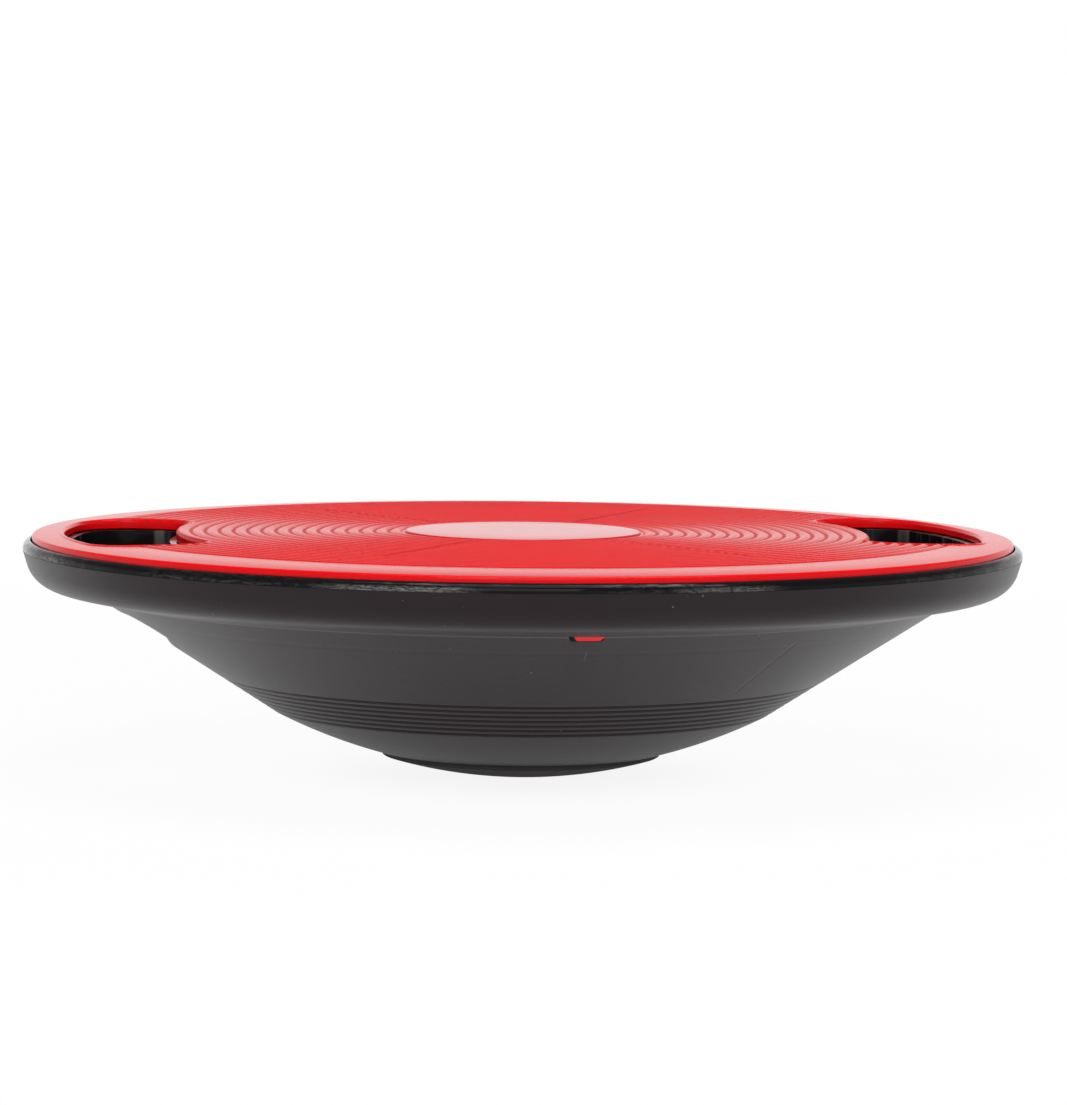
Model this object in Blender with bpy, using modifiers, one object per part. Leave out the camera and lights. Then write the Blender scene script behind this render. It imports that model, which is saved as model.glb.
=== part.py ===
"""Balance board: a ridged round deck snapped onto a domed base shell with two hand holes.

Units are metres, +Z is up. The origin is where the board stands: the middle of the bottom pad's flat.
The hand holes lie on the X axis and the two snap hooks on the Y axis.
"""

import math

import bmesh
import bpy
from mathutils import Matrix

# Overall sizes
BOARD_DIAMETER = 0.400
BOARD_HEIGHT = 0.098  # floor to the crests of the deck's ridges

# Deck: top face
DECK_THICKNESS = 0.0028
RIDGE_PITCH = 0.00565
RIDGE_HEIGHT = 0.0007  # trough to crest
BORDER_WIDTH = 0.0235  # least width of the smooth border outside the ridges
BORDER_DROP = 0.0012  # fall of the smooth border from the ridged field to the deck's edge
EDGE_ROUND = 0.0012
EDGE_SHOW = 0.0022  # deck edge that stands above the seam with the rim
SKIRT_DEPTH = 0.0060  # skirt below the seam
SKIRT_WALL = 0.0026

# Centre badge: a smooth disc let into the deck
BADGE_DIAMETER = 0.0940
BADGE_RECESS = 0.0012
BADGE_PROUD = 0.0005
BADGE_CHAMFER = 0.0003
BADGE_LAND = 0.0011  # flat ring between the badge's recess and the first ridge

# Hand holes
HOLE_INNER_RADIUS = 0.1390
HOLE_WIDTH = 0.0443
HOLE_HALF_ANGLE = math.radians(24)
HOLE_INNER_CORNER = 0.0150
HOLE_OUTER_CORNER = 0.0200
HOLE_LIP_ROUND = 0.0010
LIP_PROUD = 0.0001  # the hole's smooth lip, above the ridge crests
FLANGE_WALL = 0.0024
FLANGE_DEPTH = 0.0042  # below the ridge crests
TUNNEL_STEP = 0.0028  # how far the tunnel's wall stands inside the flange
TUNNEL_WALL = 0.0030

# Finger slots: the opening through the bowl at the foot of each tunnel
FINGER_SHELF = 0.0017  # floor left between the tunnel's inner wall and the slot
FINGER_WIDTH = 0.0180
FINGER_HALF_ANGLE = math.radians(14.8)
FINGER_CORNER = 0.0085

# Stiffening ribs
RIB_COUNT = 6
RIB_WALL = 0.0022
HUB_RADIUS = 0.0400
HUB_STEP = 0.0004  # the two hubs meet, and the ribs stop this much short of it

# Base shell
SHELL_WALL = 0.0030
RIM_BEAD = 0.0030  # width of the rim's rounded top
RIM_BAND = 0.0036  # seam down to the parting line, where the rim is widest
RIM_DEPTH = 0.0170  # seam down to where the rim's side and underside would meet
RIM_DRAFT = math.radians(16.6)
RIM_ROUND = 0.0130
RIM_INSIDE_ROUND = 0.0060
FOLD_RADIUS = 0.1704  # where the rim's underside turns into the cone
UNDERSIDE_SLOPE = math.radians(11.3)
CONE_SLOPE = math.radians(33)
DOME_EDGE = 0.1000  # radius where the cone turns into the dome
SEAT_WIDTH = 0.0035  # ledge that the deck's skirt stands on

# Grooves round the bowl
GROOVE_COUNT = 7
GROOVE_RADIUS = 0.1215  # the outermost one
GROOVE_PITCH = 0.0033
GROOVE_WIDTH = 0.0014
GROOVE_DEPTH = 0.0007

# Bottom pad
PAD_RADIUS = 0.0540
PAD_THICKNESS = 0.0030  # in the middle
PAD_PROUD = 0.0022  # below the dome, in the middle
PAD_EDGE_PROUD = 0.0014
PAD_FLAT_RADIUS = 0.0080

# Snap hooks and their slots
HOOK_AZIMUTHS = (math.radians(90), math.radians(270))
HOOK_WIDTH = 0.0122
HOOK_WALL = 0.0018
HOOK_BARB = 0.0018
HOOK_INSET = 0.0042  # from the rim's fold in to the inner face of the hook's arm
SLOT_REBATE = 0.0016  # depth of the pocket that the barb latches in

# Clearances
GAP = 0.0003  # between pieces that seat on each other
SEAM_GAP = 0.0007  # round the deck, inside the rim
HOOK_GAP = 0.0004
HOOK_SIDE_GAP = 0.0012

STEPS = 48  # facets round a turned shape
ARC_STEPS = 4  # facets in a quarter of a small round
SHARP_ANGLE = math.radians(30)  # an edge that turns by more than this is shaded sharp

# Levels and radii that follow from the sizes above
BOARD_RADIUS = BOARD_DIAMETER / 2
RIM_BORE = BOARD_RADIUS - RIM_BEAD
DECK_RADIUS = RIM_BORE - SEAM_GAP
BADGE_RADIUS = BADGE_DIAMETER / 2
RIDGE_START = BADGE_RADIUS + GAP + BADGE_LAND
RIDGE_COUNT = int((DECK_RADIUS - BORDER_WIDTH - RIDGE_START) / RIDGE_PITCH)
FIELD_RADIUS = RIDGE_START + RIDGE_COUNT * RIDGE_PITCH
HOLE_OUTER_RADIUS = HOLE_INNER_RADIUS + HOLE_WIDTH
FINGER_INNER_RADIUS = HOLE_INNER_RADIUS + TUNNEL_STEP + FINGER_SHELF
FINGER_OUTER_RADIUS = FINGER_INNER_RADIUS + FINGER_WIDTH
HOOK_RADIUS = FOLD_RADIUS - HOOK_INSET
FIELD_LEVEL = BOARD_HEIGHT - RIDGE_HEIGHT / 2
EDGE_LEVEL = FIELD_LEVEL - BORDER_DROP
SEAM_LEVEL = EDGE_LEVEL - EDGE_SHOW
DECK_UNDERSIDE = BOARD_HEIGHT - RIDGE_HEIGHT - DECK_THICKNESS
SKIRT_FOOT = SEAM_LEVEL - SKIRT_DEPTH
SEAT_LEVEL = SKIRT_FOOT - GAP
FLANGE_FOOT = BOARD_HEIGHT - FLANGE_DEPTH
TUNNEL_TOP = FLANGE_FOOT - GAP
CORNER_RADIUS = BOARD_RADIUS - (RIM_DEPTH - RIM_BAND) * math.tan(RIM_DRAFT)
CORNER_LEVEL = SEAM_LEVEL - RIM_DEPTH
FOLD_LEVEL = CORNER_LEVEL - (CORNER_RADIUS - FOLD_RADIUS) * math.tan(UNDERSIDE_SLOPE)
# The dome starts at the foot of the cone and reaches its lowest point PAD_PROUD above the floor.
CONE_FOOT = FOLD_LEVEL - (FOLD_RADIUS - DOME_EDGE) * math.tan(CONE_SLOPE)
DOME_RISE = CONE_FOOT - PAD_PROUD
DOME_RADIUS = (DOME_EDGE**2 + DOME_RISE**2) / (2 * DOME_RISE)
DOME_CENTRE = PAD_PROUD + DOME_RADIUS
DOME_SLOPE = math.asin(DOME_EDGE / DOME_RADIUS)  # at its edge
FAR = 0.05  # how far a cutter runs past what it cuts


# ---------------------------------------------------------------- outlines


def arc(centre, radius, start, end, steps):
    """Points from angle start to angle end round a centre, both ends included."""
    turn = (end - start) / steps
    return [
        (
            centre[0] + radius * math.cos(start + turn * i),
            centre[1] + radius * math.sin(start + turn * i),
        )
        for i in range(steps + 1)
    ]


def fillet(before, corner, after, radius, steps=ARC_STEPS):
    """The points of a round of that radius at the corner of two straight lines."""
    to_before = math.atan2(before[1] - corner[1], before[0] - corner[0])
    to_after = math.atan2(after[1] - corner[1], after[0] - corner[0])
    opening = (to_after - to_before + math.pi) % (2 * math.pi) - math.pi
    along = radius / math.tan(abs(opening) / 2)
    away = radius / math.sin(abs(opening) / 2)
    middle = to_before + opening / 2
    centre = (corner[0] + away * math.cos(middle), corner[1] + away * math.sin(middle))
    first = (
        corner[0] + along * math.cos(to_before),
        corner[1] + along * math.sin(to_before),
    )
    start = math.atan2(first[1] - centre[1], first[0] - centre[0])
    sweep = -math.copysign(math.pi - abs(opening), opening)
    return arc(centre, radius, start, start + sweep, steps)


def bowl_edge(inset=0.0):
    """Where the cone meets the dome, on a surface inset into the wall."""
    middle = (CONE_SLOPE + DOME_SLOPE) / 2
    away = inset / math.cos((CONE_SLOPE - DOME_SLOPE) / 2)
    return DOME_EDGE - away * math.sin(middle), CONE_FOOT + away * math.cos(middle)


def bowl_level(radius, inset=0.0):
    """Height of the bowl's cone or dome at a radius, on a surface inset into the wall."""
    edge, edge_level = bowl_edge(inset)
    if radius <= edge:
        return DOME_CENTRE - math.sqrt((DOME_RADIUS - inset) ** 2 - radius**2)
    return edge_level + (radius - edge) * math.tan(CONE_SLOPE)


def dome_points(first, last, inset, steps):
    """Points on the dome from one radius to another, evenly turned."""
    curve = DOME_RADIUS - inset
    start = math.asin(first / curve)
    turn = (math.asin(last / curve) - start) / steps
    return [
        (
            curve * math.sin(start + turn * i),
            DOME_CENTRE - curve * math.cos(start + turn * i),
        )
        for i in range(steps + 1)
    ]


def corner_centre(reach, corner, end):
    """Centre of a corner round that touches the line at angle end, that far from the board's centre."""
    along = math.sqrt(reach**2 - corner**2)
    return (
        along * math.cos(end) + corner * math.sin(end),
        along * math.sin(end) - corner * math.cos(end),
    )


def kidney(inner_radius, outer_radius, end, inner_corner, outer_corner, grow):
    """An outline on +X, grown all round: two arcs about the board's centre and rounded radial ends."""
    inner = corner_centre(inner_radius + inner_corner, inner_corner, end)
    outer = corner_centre(outer_radius - outer_corner, outer_corner, end)
    inner_turn = math.atan2(inner[1], inner[0])
    outer_turn = math.atan2(outer[1], outer[0])
    side = end + math.pi / 2
    half = arc((0, 0), outer_radius + grow, 0, outer_turn, 5)
    half += arc(outer, outer_corner + grow, outer_turn, side, 5)[1:]
    half += arc(inner, inner_corner + grow, side, inner_turn + math.pi, 5)
    half += arc((0, 0), inner_radius - grow, inner_turn, 0, 4)[1:]
    return half + [(x, -y) for x, y in half[-2:0:-1]]


def hand_hole_outline(grow):
    return kidney(
        HOLE_INNER_RADIUS,
        HOLE_OUTER_RADIUS,
        HOLE_HALF_ANGLE,
        HOLE_INNER_CORNER,
        HOLE_OUTER_CORNER,
        grow,
    )


def finger_slot_outline(grow):
    return kidney(
        FINGER_INNER_RADIUS,
        FINGER_OUTER_RADIUS,
        FINGER_HALF_ANGLE,
        FINGER_CORNER,
        FINGER_CORNER,
        grow,
    )


# ---------------------------------------------------------------- making objects


def clear_scene():
    for item in list(bpy.data.objects):
        bpy.data.objects.remove(item)


def new_collection(name):
    made = bpy.data.collections.new(name)
    bpy.context.scene.collection.children.link(made)
    return made


def plastic(name, colour, roughness):
    """A Principled material of one colour."""
    material = bpy.data.materials.new(name)
    material.use_nodes = True
    material.diffuse_color = (*colour, 1)
    shader = material.node_tree.nodes["Principled BSDF"]
    shader.inputs["Base Color"].default_value = (*colour, 1)
    shader.inputs["Roughness"].default_value = roughness
    shader.inputs["Metallic"].default_value = 0
    return material


def make_object(name, bm, collection):
    mesh = bpy.data.meshes.new(name)
    bm.to_mesh(mesh)
    bm.free()
    made = bpy.data.objects.new(name, mesh)
    collection.objects.link(made)
    return made


def turned(name, profile, collection):
    """A solid turned about Z from a profile that runs out from the axis, down its outer side and back."""
    bm = bmesh.new()
    points = [bm.verts.new((radius, 0, level)) for radius, level in profile]
    for first, second in zip(points, points[1:]):
        bm.edges.new((first, second))
    made = make_object(name, bm, collection)
    screw = made.modifiers.new("Turn", "SCREW")
    screw.axis = "Z"
    screw.steps = STEPS
    screw.render_steps = STEPS
    screw.use_merge_vertices = True
    screw.merge_threshold = 0.00001
    return made


def helper(made):
    """Marks an object that only cuts or joins others."""
    made.hide_render = True
    made.display_type = "WIRE"
    return made


def loft(name, sections, collection):
    """A solid through level outlines of equal count: sections are (outline, level), lowest first."""
    bm = bmesh.new()
    rings = []
    for outline, level in sections:
        rings.append([bm.verts.new((x, y, level)) for x, y in outline])
    bm.faces.new(rings[0][::-1])
    bm.faces.new(rings[-1])
    for lower, upper in zip(rings, rings[1:]):
        for i in range(len(lower)):
            j = (i + 1) % len(lower)
            bm.faces.new((lower[i], lower[j], upper[j], upper[i]))
    return make_object(name, bm, collection)


def box(name, low, high, collection, azimuth=0.0):
    """A box between two corners, turned about Z."""
    bm = bmesh.new()
    bmesh.ops.create_cube(bm, size=1)
    sides = [b - a for a, b in zip(low, high)]
    middle = [(a + b) / 2 for a, b in zip(low, high)]
    bmesh.ops.scale(bm, vec=sides, verts=bm.verts)
    bmesh.ops.translate(bm, vec=middle, verts=bm.verts)
    made = make_object(name, bm, collection)
    made.matrix_world = Matrix.Rotation(azimuth, 4, "Z")
    return made


def extruded(name, outline, width, collection, azimuth):
    """An upright outline of (radius, level) points, given a width and turned about Z."""
    bm = bmesh.new()
    near = [bm.verts.new((radius, -width / 2, level)) for radius, level in outline]
    moved = bmesh.ops.extrude_face_region(bm, geom=[bm.faces.new(near)])["geom"]
    verts = [item for item in moved if isinstance(item, bmesh.types.BMVert)]
    bmesh.ops.translate(bm, vec=(0, width, 0), verts=verts)
    bmesh.ops.recalc_face_normals(bm, faces=bm.faces)
    made = make_object(name, bm, collection)
    made.matrix_world = Matrix.Rotation(azimuth, 4, "Z")
    return made


def combine(target, operation, tool):
    step = target.modifiers.new(f"{operation.title()} {tool.name}", "BOOLEAN")
    step.operation = operation
    step.object = tool
    step.solver = "EXACT"


def hand_hole_block(name, sections, azimuth, collection, outline=hand_hole_outline):
    """A lofted block on the hand hole's outline: sections are (grow, level), lowest first."""
    outlines = [(outline(grow), level) for grow, level in sections]
    made = helper(loft(name, outlines, collection))
    made.matrix_world = Matrix.Rotation(azimuth, 4, "Z")
    return made


def evaluated_mesh(made):
    bpy.context.view_layer.update()
    graph = bpy.context.evaluated_depsgraph_get()
    return bpy.data.meshes.new_from_object(made.evaluated_get(graph))


def trimmed(name, solid, space, tools):
    """The part of a solid that lies in a space, as a mesh of its own."""
    combine(solid, "INTERSECT", space)
    mesh = evaluated_mesh(solid)
    mesh.transform(solid.matrix_world)
    made = bpy.data.objects.new(name, mesh)
    tools.objects.link(made)
    bpy.data.objects.remove(solid)
    return helper(made)


def finish(piece, material):
    """Applies the piece's modifiers, shades its rounds smooth and gives it its material."""
    mesh = evaluated_mesh(piece)
    mesh.name = piece.name
    mesh.shade_smooth()
    mesh.set_sharp_from_angle(angle=SHARP_ANGLE)
    mesh.materials.append(material)
    piece.modifiers.clear()
    piece.data = mesh


# ---------------------------------------------------------------- deck


def deck_profile():
    """Badge recess, ridges, smooth border, rounded edge, skirt, underside and hub."""
    recess = BADGE_RADIUS + GAP
    floor = FIELD_LEVEL - RIDGE_HEIGHT / 2 - BADGE_RECESS
    trough = FIELD_LEVEL - RIDGE_HEIGHT / 2
    points = [(0, floor), (recess, floor), (recess, trough)]
    for i in range(2 * RIDGE_COUNT + 1):
        crest = i % 2
        points.append((RIDGE_START + i * RIDGE_PITCH / 2, trough + crest * RIDGE_HEIGHT))
    border_start = (FIELD_RADIUS, FIELD_LEVEL)
    edge = (DECK_RADIUS, EDGE_LEVEL)
    points += fillet(border_start, edge, (DECK_RADIUS, SKIRT_FOOT), EDGE_ROUND)
    points += [
        (DECK_RADIUS, SKIRT_FOOT),
        (DECK_RADIUS - SKIRT_WALL, SKIRT_FOOT),
        (DECK_RADIUS - SKIRT_WALL, DECK_UNDERSIDE),
        (HUB_RADIUS + RIB_WALL, DECK_UNDERSIDE),
        (HUB_RADIUS + RIB_WALL, SKIRT_FOOT),
        (HUB_RADIUS, SKIRT_FOOT),
        (HUB_RADIUS, DECK_UNDERSIDE),
        (0, DECK_UNDERSIDE),
    ]
    return points


def add_deck_ribs(deck, tools):
    """Radial ribs under the plate, from the hub to the skirt."""
    top = DECK_UNDERSIDE + DECK_THICKNESS / 4
    for i in range(RIB_COUNT):
        rib = box(
            f"deck_rib_{i}",
            (HUB_RADIUS + RIB_WALL / 2, -RIB_WALL / 2, SKIRT_FOOT + HUB_STEP),
            (DECK_RADIUS - SKIRT_WALL / 2, RIB_WALL / 2, top),
            tools,
            2 * math.pi * i / RIB_COUNT,
        )
        combine(deck, "UNION", helper(rib))


def add_hooks(deck, tools):
    """Snap hooks: a flat arm down to the slot and a barb that points outwards."""
    top = DECK_UNDERSIDE + DECK_THICKNESS / 4
    latch = FOLD_LEVEL + SLOT_REBATE - GAP
    arm_outer = HOOK_RADIUS + HOOK_WALL
    toe = arm_outer + HOOK_BARB
    foot_inner = bowl_level(HOOK_RADIUS)
    foot_outer = bowl_level(arm_outer)
    outline = [
        (HOOK_RADIUS, top),
        (HOOK_RADIUS, foot_inner),
        (arm_outer, foot_outer),
        (toe, foot_outer + (toe - arm_outer) * math.tan(CONE_SLOPE)),
        (toe, latch),
        (arm_outer, latch),
        (arm_outer, top),
    ]
    for i, azimuth in enumerate(HOOK_AZIMUTHS):
        hook = extruded(f"hook_{i}", outline, HOOK_WIDTH, tools, azimuth)
        combine(deck, "UNION", helper(hook))


def lip_envelope(top, tools):
    """The space that a hole's flange and lip fill: level over the ridges and falling with the border."""
    edge = EDGE_LEVEL + top - FIELD_LEVEL
    profile = [(0, top), (FIELD_RADIUS, top), (DECK_RADIUS, edge)]
    profile += [(DECK_RADIUS, FLANGE_FOOT), (0, FLANGE_FOOT)]
    return helper(turned("lip_envelope", profile, tools))


def make_deck(collection, tools):
    deck = turned("deck", deck_profile(), collection)
    add_deck_ribs(deck, tools)
    add_hooks(deck, tools)
    clear = TUNNEL_WALL - TUNNEL_STEP + 2 * GAP
    for i, azimuth in enumerate((0, math.pi)):
        pocket = hand_hole_block(
            f"rib_pocket_{i}",
            [(clear, SKIRT_FOOT - FAR), (clear, FLANGE_FOOT + GAP)],
            azimuth,
            tools,
        )
        combine(deck, "DIFFERENCE", pocket)
    lip_top = BOARD_HEIGHT + LIP_PROUD
    envelope = lip_envelope(lip_top, tools)
    for i, azimuth in enumerate((0, math.pi)):
        block = hand_hole_block(
            f"flange_block_{i}",
            [(FLANGE_WALL, FLANGE_FOOT - FAR), (FLANGE_WALL, BOARD_HEIGHT + FAR)],
            azimuth,
            tools,
        )
        combine(deck, "UNION", trimmed(f"flange_{i}", block, envelope, tools))
        hole = hand_hole_block(
            f"deck_hole_{i}",
            [
                (0, FLANGE_FOOT - FAR),
                (0, lip_top - HOLE_LIP_ROUND),
                (2 * HOLE_LIP_ROUND, lip_top + HOLE_LIP_ROUND),
            ],
            azimuth,
            tools,
        )
        combine(deck, "DIFFERENCE", hole)
    finish(deck, plastic("red_plastic", (0.62, 0.012, 0.016), 0.42))


def make_badge(collection):
    """The smooth disc in the middle of the deck, seated in its recess."""
    floor = FIELD_LEVEL - RIDGE_HEIGHT / 2 - BADGE_RECESS + GAP
    top = FIELD_LEVEL + BADGE_PROUD
    badge = turned(
        "centre_badge",
        [
            (0, top),
            (BADGE_RADIUS - BADGE_CHAMFER, top),
            (BADGE_RADIUS, top - BADGE_CHAMFER),
            (BADGE_RADIUS, floor),
            (0, floor),
        ],
        collection,
    )
    finish(badge, plastic("glossy_red_plastic", (0.66, 0.03, 0.035), 0.25))


# ---------------------------------------------------------------- base shell


def groove_points(radius):
    """A shallow V cut square into the bowl at that radius, outer edge first."""
    half = GROOVE_WIDTH / 2
    return [
        (radius + half, bowl_level(radius + half)),
        (radius, bowl_level(radius) + GROOVE_DEPTH / math.cos(CONE_SLOPE)),
        (radius - half, bowl_level(radius - half)),
    ]


def rim_points():
    """The rim from its top inner edge over the bead, down the side and under to the fold."""
    parting = (BOARD_RADIUS, SEAM_LEVEL - RIM_BAND)
    corner = (CORNER_RADIUS, CORNER_LEVEL)
    fold = (FOLD_RADIUS, FOLD_LEVEL)
    bead = (BOARD_RADIUS - RIM_BEAD, SEAM_LEVEL - RIM_BEAD)
    points = arc(bead, RIM_BEAD, math.pi / 2, 0, ARC_STEPS)
    points += [parting]
    points += fillet(parting, corner, fold, RIM_ROUND)
    return points + [fold]


def inside_points():
    """The base shell's inside, from its lowest point past the hub and up to the deck's seat."""
    inner_wall = PAD_THICKNESS - PAD_PROUD + GAP + SHELL_WALL
    inner_edge = bowl_edge(SHELL_WALL)[0]
    points = dome_points(0, HUB_RADIUS, inner_wall, 2)
    points += [(HUB_RADIUS, SEAT_LEVEL), (HUB_RADIUS + RIB_WALL, SEAT_LEVEL)]
    points += dome_points(HUB_RADIUS + RIB_WALL, PAD_RADIUS, inner_wall, 1)
    points += dome_points(PAD_RADIUS + SHELL_WALL, inner_edge, SHELL_WALL, 3)
    fold = (FOLD_RADIUS, bowl_level(FOLD_RADIUS, SHELL_WALL))
    corner = (
        CORNER_RADIUS - SHELL_WALL / math.cos(RIM_DRAFT),
        CORNER_LEVEL + SHELL_WALL / math.cos(UNDERSIDE_SLOPE),
    )
    seat = (RIM_BORE - SEAT_WIDTH, SEAT_LEVEL)
    points += [fold]
    points += fillet(fold, corner, seat, RIM_INSIDE_ROUND, 2)
    return points + [seat, (RIM_BORE, SEAT_LEVEL)]


def shell_profile():
    """Up the inside, over the rim, and down the outside past the grooves to the pad's recess."""
    points = inside_points() + rim_points()
    for i in range(GROOVE_COUNT):
        points += groove_points(GROOVE_RADIUS - i * GROOVE_PITCH)
    recess = PAD_RADIUS + GAP
    last_groove = GROOVE_RADIUS - (GROOVE_COUNT - 1) * GROOVE_PITCH
    points += dome_points(min(DOME_EDGE, last_groove - GROOVE_WIDTH), recess, 0, 4)
    return points + dome_points(recess, 0, PAD_THICKNESS - PAD_PROUD + GAP, 4)


def space_inside(name, inset, tools):
    """The space inside the base shell, down to a surface inset into its wall."""
    top = BOARD_HEIGHT + FAR
    side = CORNER_RADIUS - inset
    profile = [(0, top), (side, top), (side, CORNER_LEVEL + inset)]
    profile += [(FOLD_RADIUS, bowl_level(FOLD_RADIUS, inset))]
    profile += dome_points(bowl_edge(inset)[0], 0, inset, 5)
    return helper(turned(name, profile, tools))


def add_base_ribs(shell, bedding, tools):
    """Radial ribs that rise from the bowl to just under the deck's ribs."""
    for i in range(RIB_COUNT):
        rib = box(
            f"base_rib_block_{i}",
            (HUB_RADIUS + RIB_WALL / 2, -RIB_WALL / 2, -FAR),
            (CORNER_RADIUS, RIB_WALL / 2, SEAT_LEVEL - HUB_STEP),
            tools,
            2 * math.pi * i / RIB_COUNT,
        )
        combine(shell, "UNION", trimmed(f"base_rib_{i}", rib, bedding, tools))


def add_tunnels(shell, bedding, tools):
    """A walled tunnel from each of the deck's flanges down to the bowl, with a finger slot in its floor."""
    outside = TUNNEL_WALL - TUNNEL_STEP
    for i, azimuth in enumerate((0, math.pi)):
        block = hand_hole_block(
            f"tunnel_block_{i}", [(outside, 0), (outside, TUNNEL_TOP)], azimuth, tools
        )
        combine(shell, "UNION", trimmed(f"tunnel_{i}", block, bedding, tools))
    above_wall = space_inside("space_above_wall", SHELL_WALL, tools)
    for i, azimuth in enumerate((0, math.pi)):
        inside = hand_hole_block(
            f"bore_block_{i}",
            [(-TUNNEL_STEP, 0), (-TUNNEL_STEP, BOARD_HEIGHT + FAR / 2)],
            azimuth,
            tools,
        )
        bore = trimmed(f"tunnel_bore_{i}", inside, above_wall, tools)
        combine(shell, "DIFFERENCE", bore)
        slot = hand_hole_block(
            f"finger_slot_{i}",
            [(0, -FAR), (0, BOARD_HEIGHT + FAR)],
            azimuth,
            tools,
            finger_slot_outline,
        )
        combine(shell, "DIFFERENCE", slot)


def cut_slots(shell, tools):
    """A slot through the wall for each hook's arm, and a pocket outside it for the barb."""
    inner = HOOK_RADIUS - HOOK_GAP
    outer = HOOK_RADIUS + HOOK_WALL + HOOK_GAP
    low = FOLD_LEVEL - FAR
    high = FOLD_LEVEL + 4 * SHELL_WALL
    latch = FOLD_LEVEL + SLOT_REBATE
    outline = [
        (inner, low),
        (outer + HOOK_BARB, low),
        (outer + HOOK_BARB, latch),
        (outer, latch),
        (outer, high),
        (inner, high),
    ]
    width = HOOK_WIDTH + 2 * HOOK_SIDE_GAP
    for i, azimuth in enumerate(HOOK_AZIMUTHS):
        slot = extruded(f"hook_slot_{i}", outline, width, tools, azimuth)
        combine(shell, "DIFFERENCE", helper(slot))


def make_base_shell(collection, tools):
    shell = turned("base_shell", shell_profile(), collection)
    bedding = space_inside("space_to_wall_middle", SHELL_WALL / 2, tools)
    add_base_ribs(shell, bedding, tools)
    add_tunnels(shell, bedding, tools)
    cut_slots(shell, tools)
    finish(shell, plastic("black_plastic", (0.035, 0.033, 0.034), 0.5))


# ---------------------------------------------------------------- bottom pad


def make_pad(collection):
    """The grippy disc let into the bottom of the dome, with a small flat to stand on."""
    edge_level = bowl_level(PAD_RADIUS) - PAD_EDGE_PROUD
    centre = (PAD_RADIUS**2 + edge_level**2 - PAD_FLAT_RADIUS**2) / (2 * edge_level)
    curve = math.hypot(PAD_FLAT_RADIUS, centre)
    start = math.asin(PAD_RADIUS / curve) - math.pi / 2
    end = math.asin(PAD_FLAT_RADIUS / curve) - math.pi / 2
    profile = dome_points(0, PAD_RADIUS, PAD_THICKNESS - PAD_PROUD, 4)
    profile += arc((0, centre), curve, start, end, 5)
    profile[-1] = (PAD_FLAT_RADIUS, 0)
    pad = turned("bottom_pad", profile + [(0, 0)], collection)
    finish(pad, plastic("black_rubber", (0.04, 0.04, 0.04), 0.8))


def main():
    clear_scene()
    pieces = new_collection("balance_board")
    tools = new_collection("cutters")
    make_deck(pieces, tools)
    make_badge(pieces)
    make_base_shell(pieces, tools)
    make_pad(pieces)


main()
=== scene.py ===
"""Balance board add-on: ridged red deck, smooth badge, black domed shell, grippy pad and studio.

It is run as a script. Sizes are in metres and +Z is up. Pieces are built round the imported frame.
"""

import math
from functools import reduce

import bmesh
import bpy
from bpy.props import FloatProperty, FloatVectorProperty, IntProperty, PointerProperty
from mathutils import Matrix, Vector


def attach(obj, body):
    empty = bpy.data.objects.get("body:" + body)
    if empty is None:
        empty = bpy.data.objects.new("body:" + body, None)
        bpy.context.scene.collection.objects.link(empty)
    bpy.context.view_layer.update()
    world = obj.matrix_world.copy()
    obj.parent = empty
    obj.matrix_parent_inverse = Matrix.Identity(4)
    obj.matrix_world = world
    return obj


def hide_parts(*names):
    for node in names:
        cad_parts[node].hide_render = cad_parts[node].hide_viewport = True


bl_info = {
    "name": "Balance Board",
    "version": (1, 0, 0),
    "blender": (4, 5, 0),
    "location": "View3D > Sidebar > Balance Board",
    "description": "Builds a round balance board with a ridged deck and two hand holes",
    "category": "Add Mesh",
}

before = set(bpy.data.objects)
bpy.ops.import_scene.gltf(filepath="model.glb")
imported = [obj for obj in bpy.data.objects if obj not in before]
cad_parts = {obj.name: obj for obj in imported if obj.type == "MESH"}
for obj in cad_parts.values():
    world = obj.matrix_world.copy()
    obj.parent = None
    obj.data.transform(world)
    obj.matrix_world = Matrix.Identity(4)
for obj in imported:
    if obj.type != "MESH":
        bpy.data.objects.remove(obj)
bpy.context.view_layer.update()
BODY = "root"

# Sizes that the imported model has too
BOARD_RADIUS = 0.200
BOARD_HEIGHT = 0.098  # floor to the crests of the ridges
DECK_THICKNESS = 0.0028
RIDGE_DEPTH = 0.0007
RIDGE_REACH = 0.1727  # where the ridges end and the smooth border starts
BORDER_DROP = 0.0012
EDGE_ROUND = 0.0012
EDGE_SHOW = 0.0022
SKIRT_DEPTH = 0.0060
SKIRT_WALL = 0.0026
BADGE_RADIUS = 0.0470
BADGE_RECESS = 0.0012
BADGE_PROUD = 0.0005
BADGE_LAND = 0.0011
HOLE_INNER_RADIUS = 0.1390
HOLE_OUTER_RADIUS = 0.1833
HOLE_HALF_ANGLE = math.radians(24)
HOLE_INNER_CORNER = 0.0150
HOLE_OUTER_CORNER = 0.0200
LIP_PROUD = 0.0001
FLANGE_WALL = 0.0024
FLANGE_DEPTH = 0.0042
TUNNEL_STEP = 0.0028
TUNNEL_WALL = 0.0030
FINGER_INNER_RADIUS = 0.1435
FINGER_OUTER_RADIUS = 0.1615
FINGER_HALF_ANGLE = math.radians(14.8)
FINGER_CORNER = 0.0085
RIB_COUNT = 6
RIB_WALL = 0.0022
HUB_RADIUS = 0.0400
HUB_STEP = 0.0004
SHELL_WALL = 0.0030
RIM_BEAD = 0.0030
RIM_BAND = 0.0036
RIM_DEPTH = 0.0170
RIM_DRAFT = math.radians(16.6)
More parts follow.
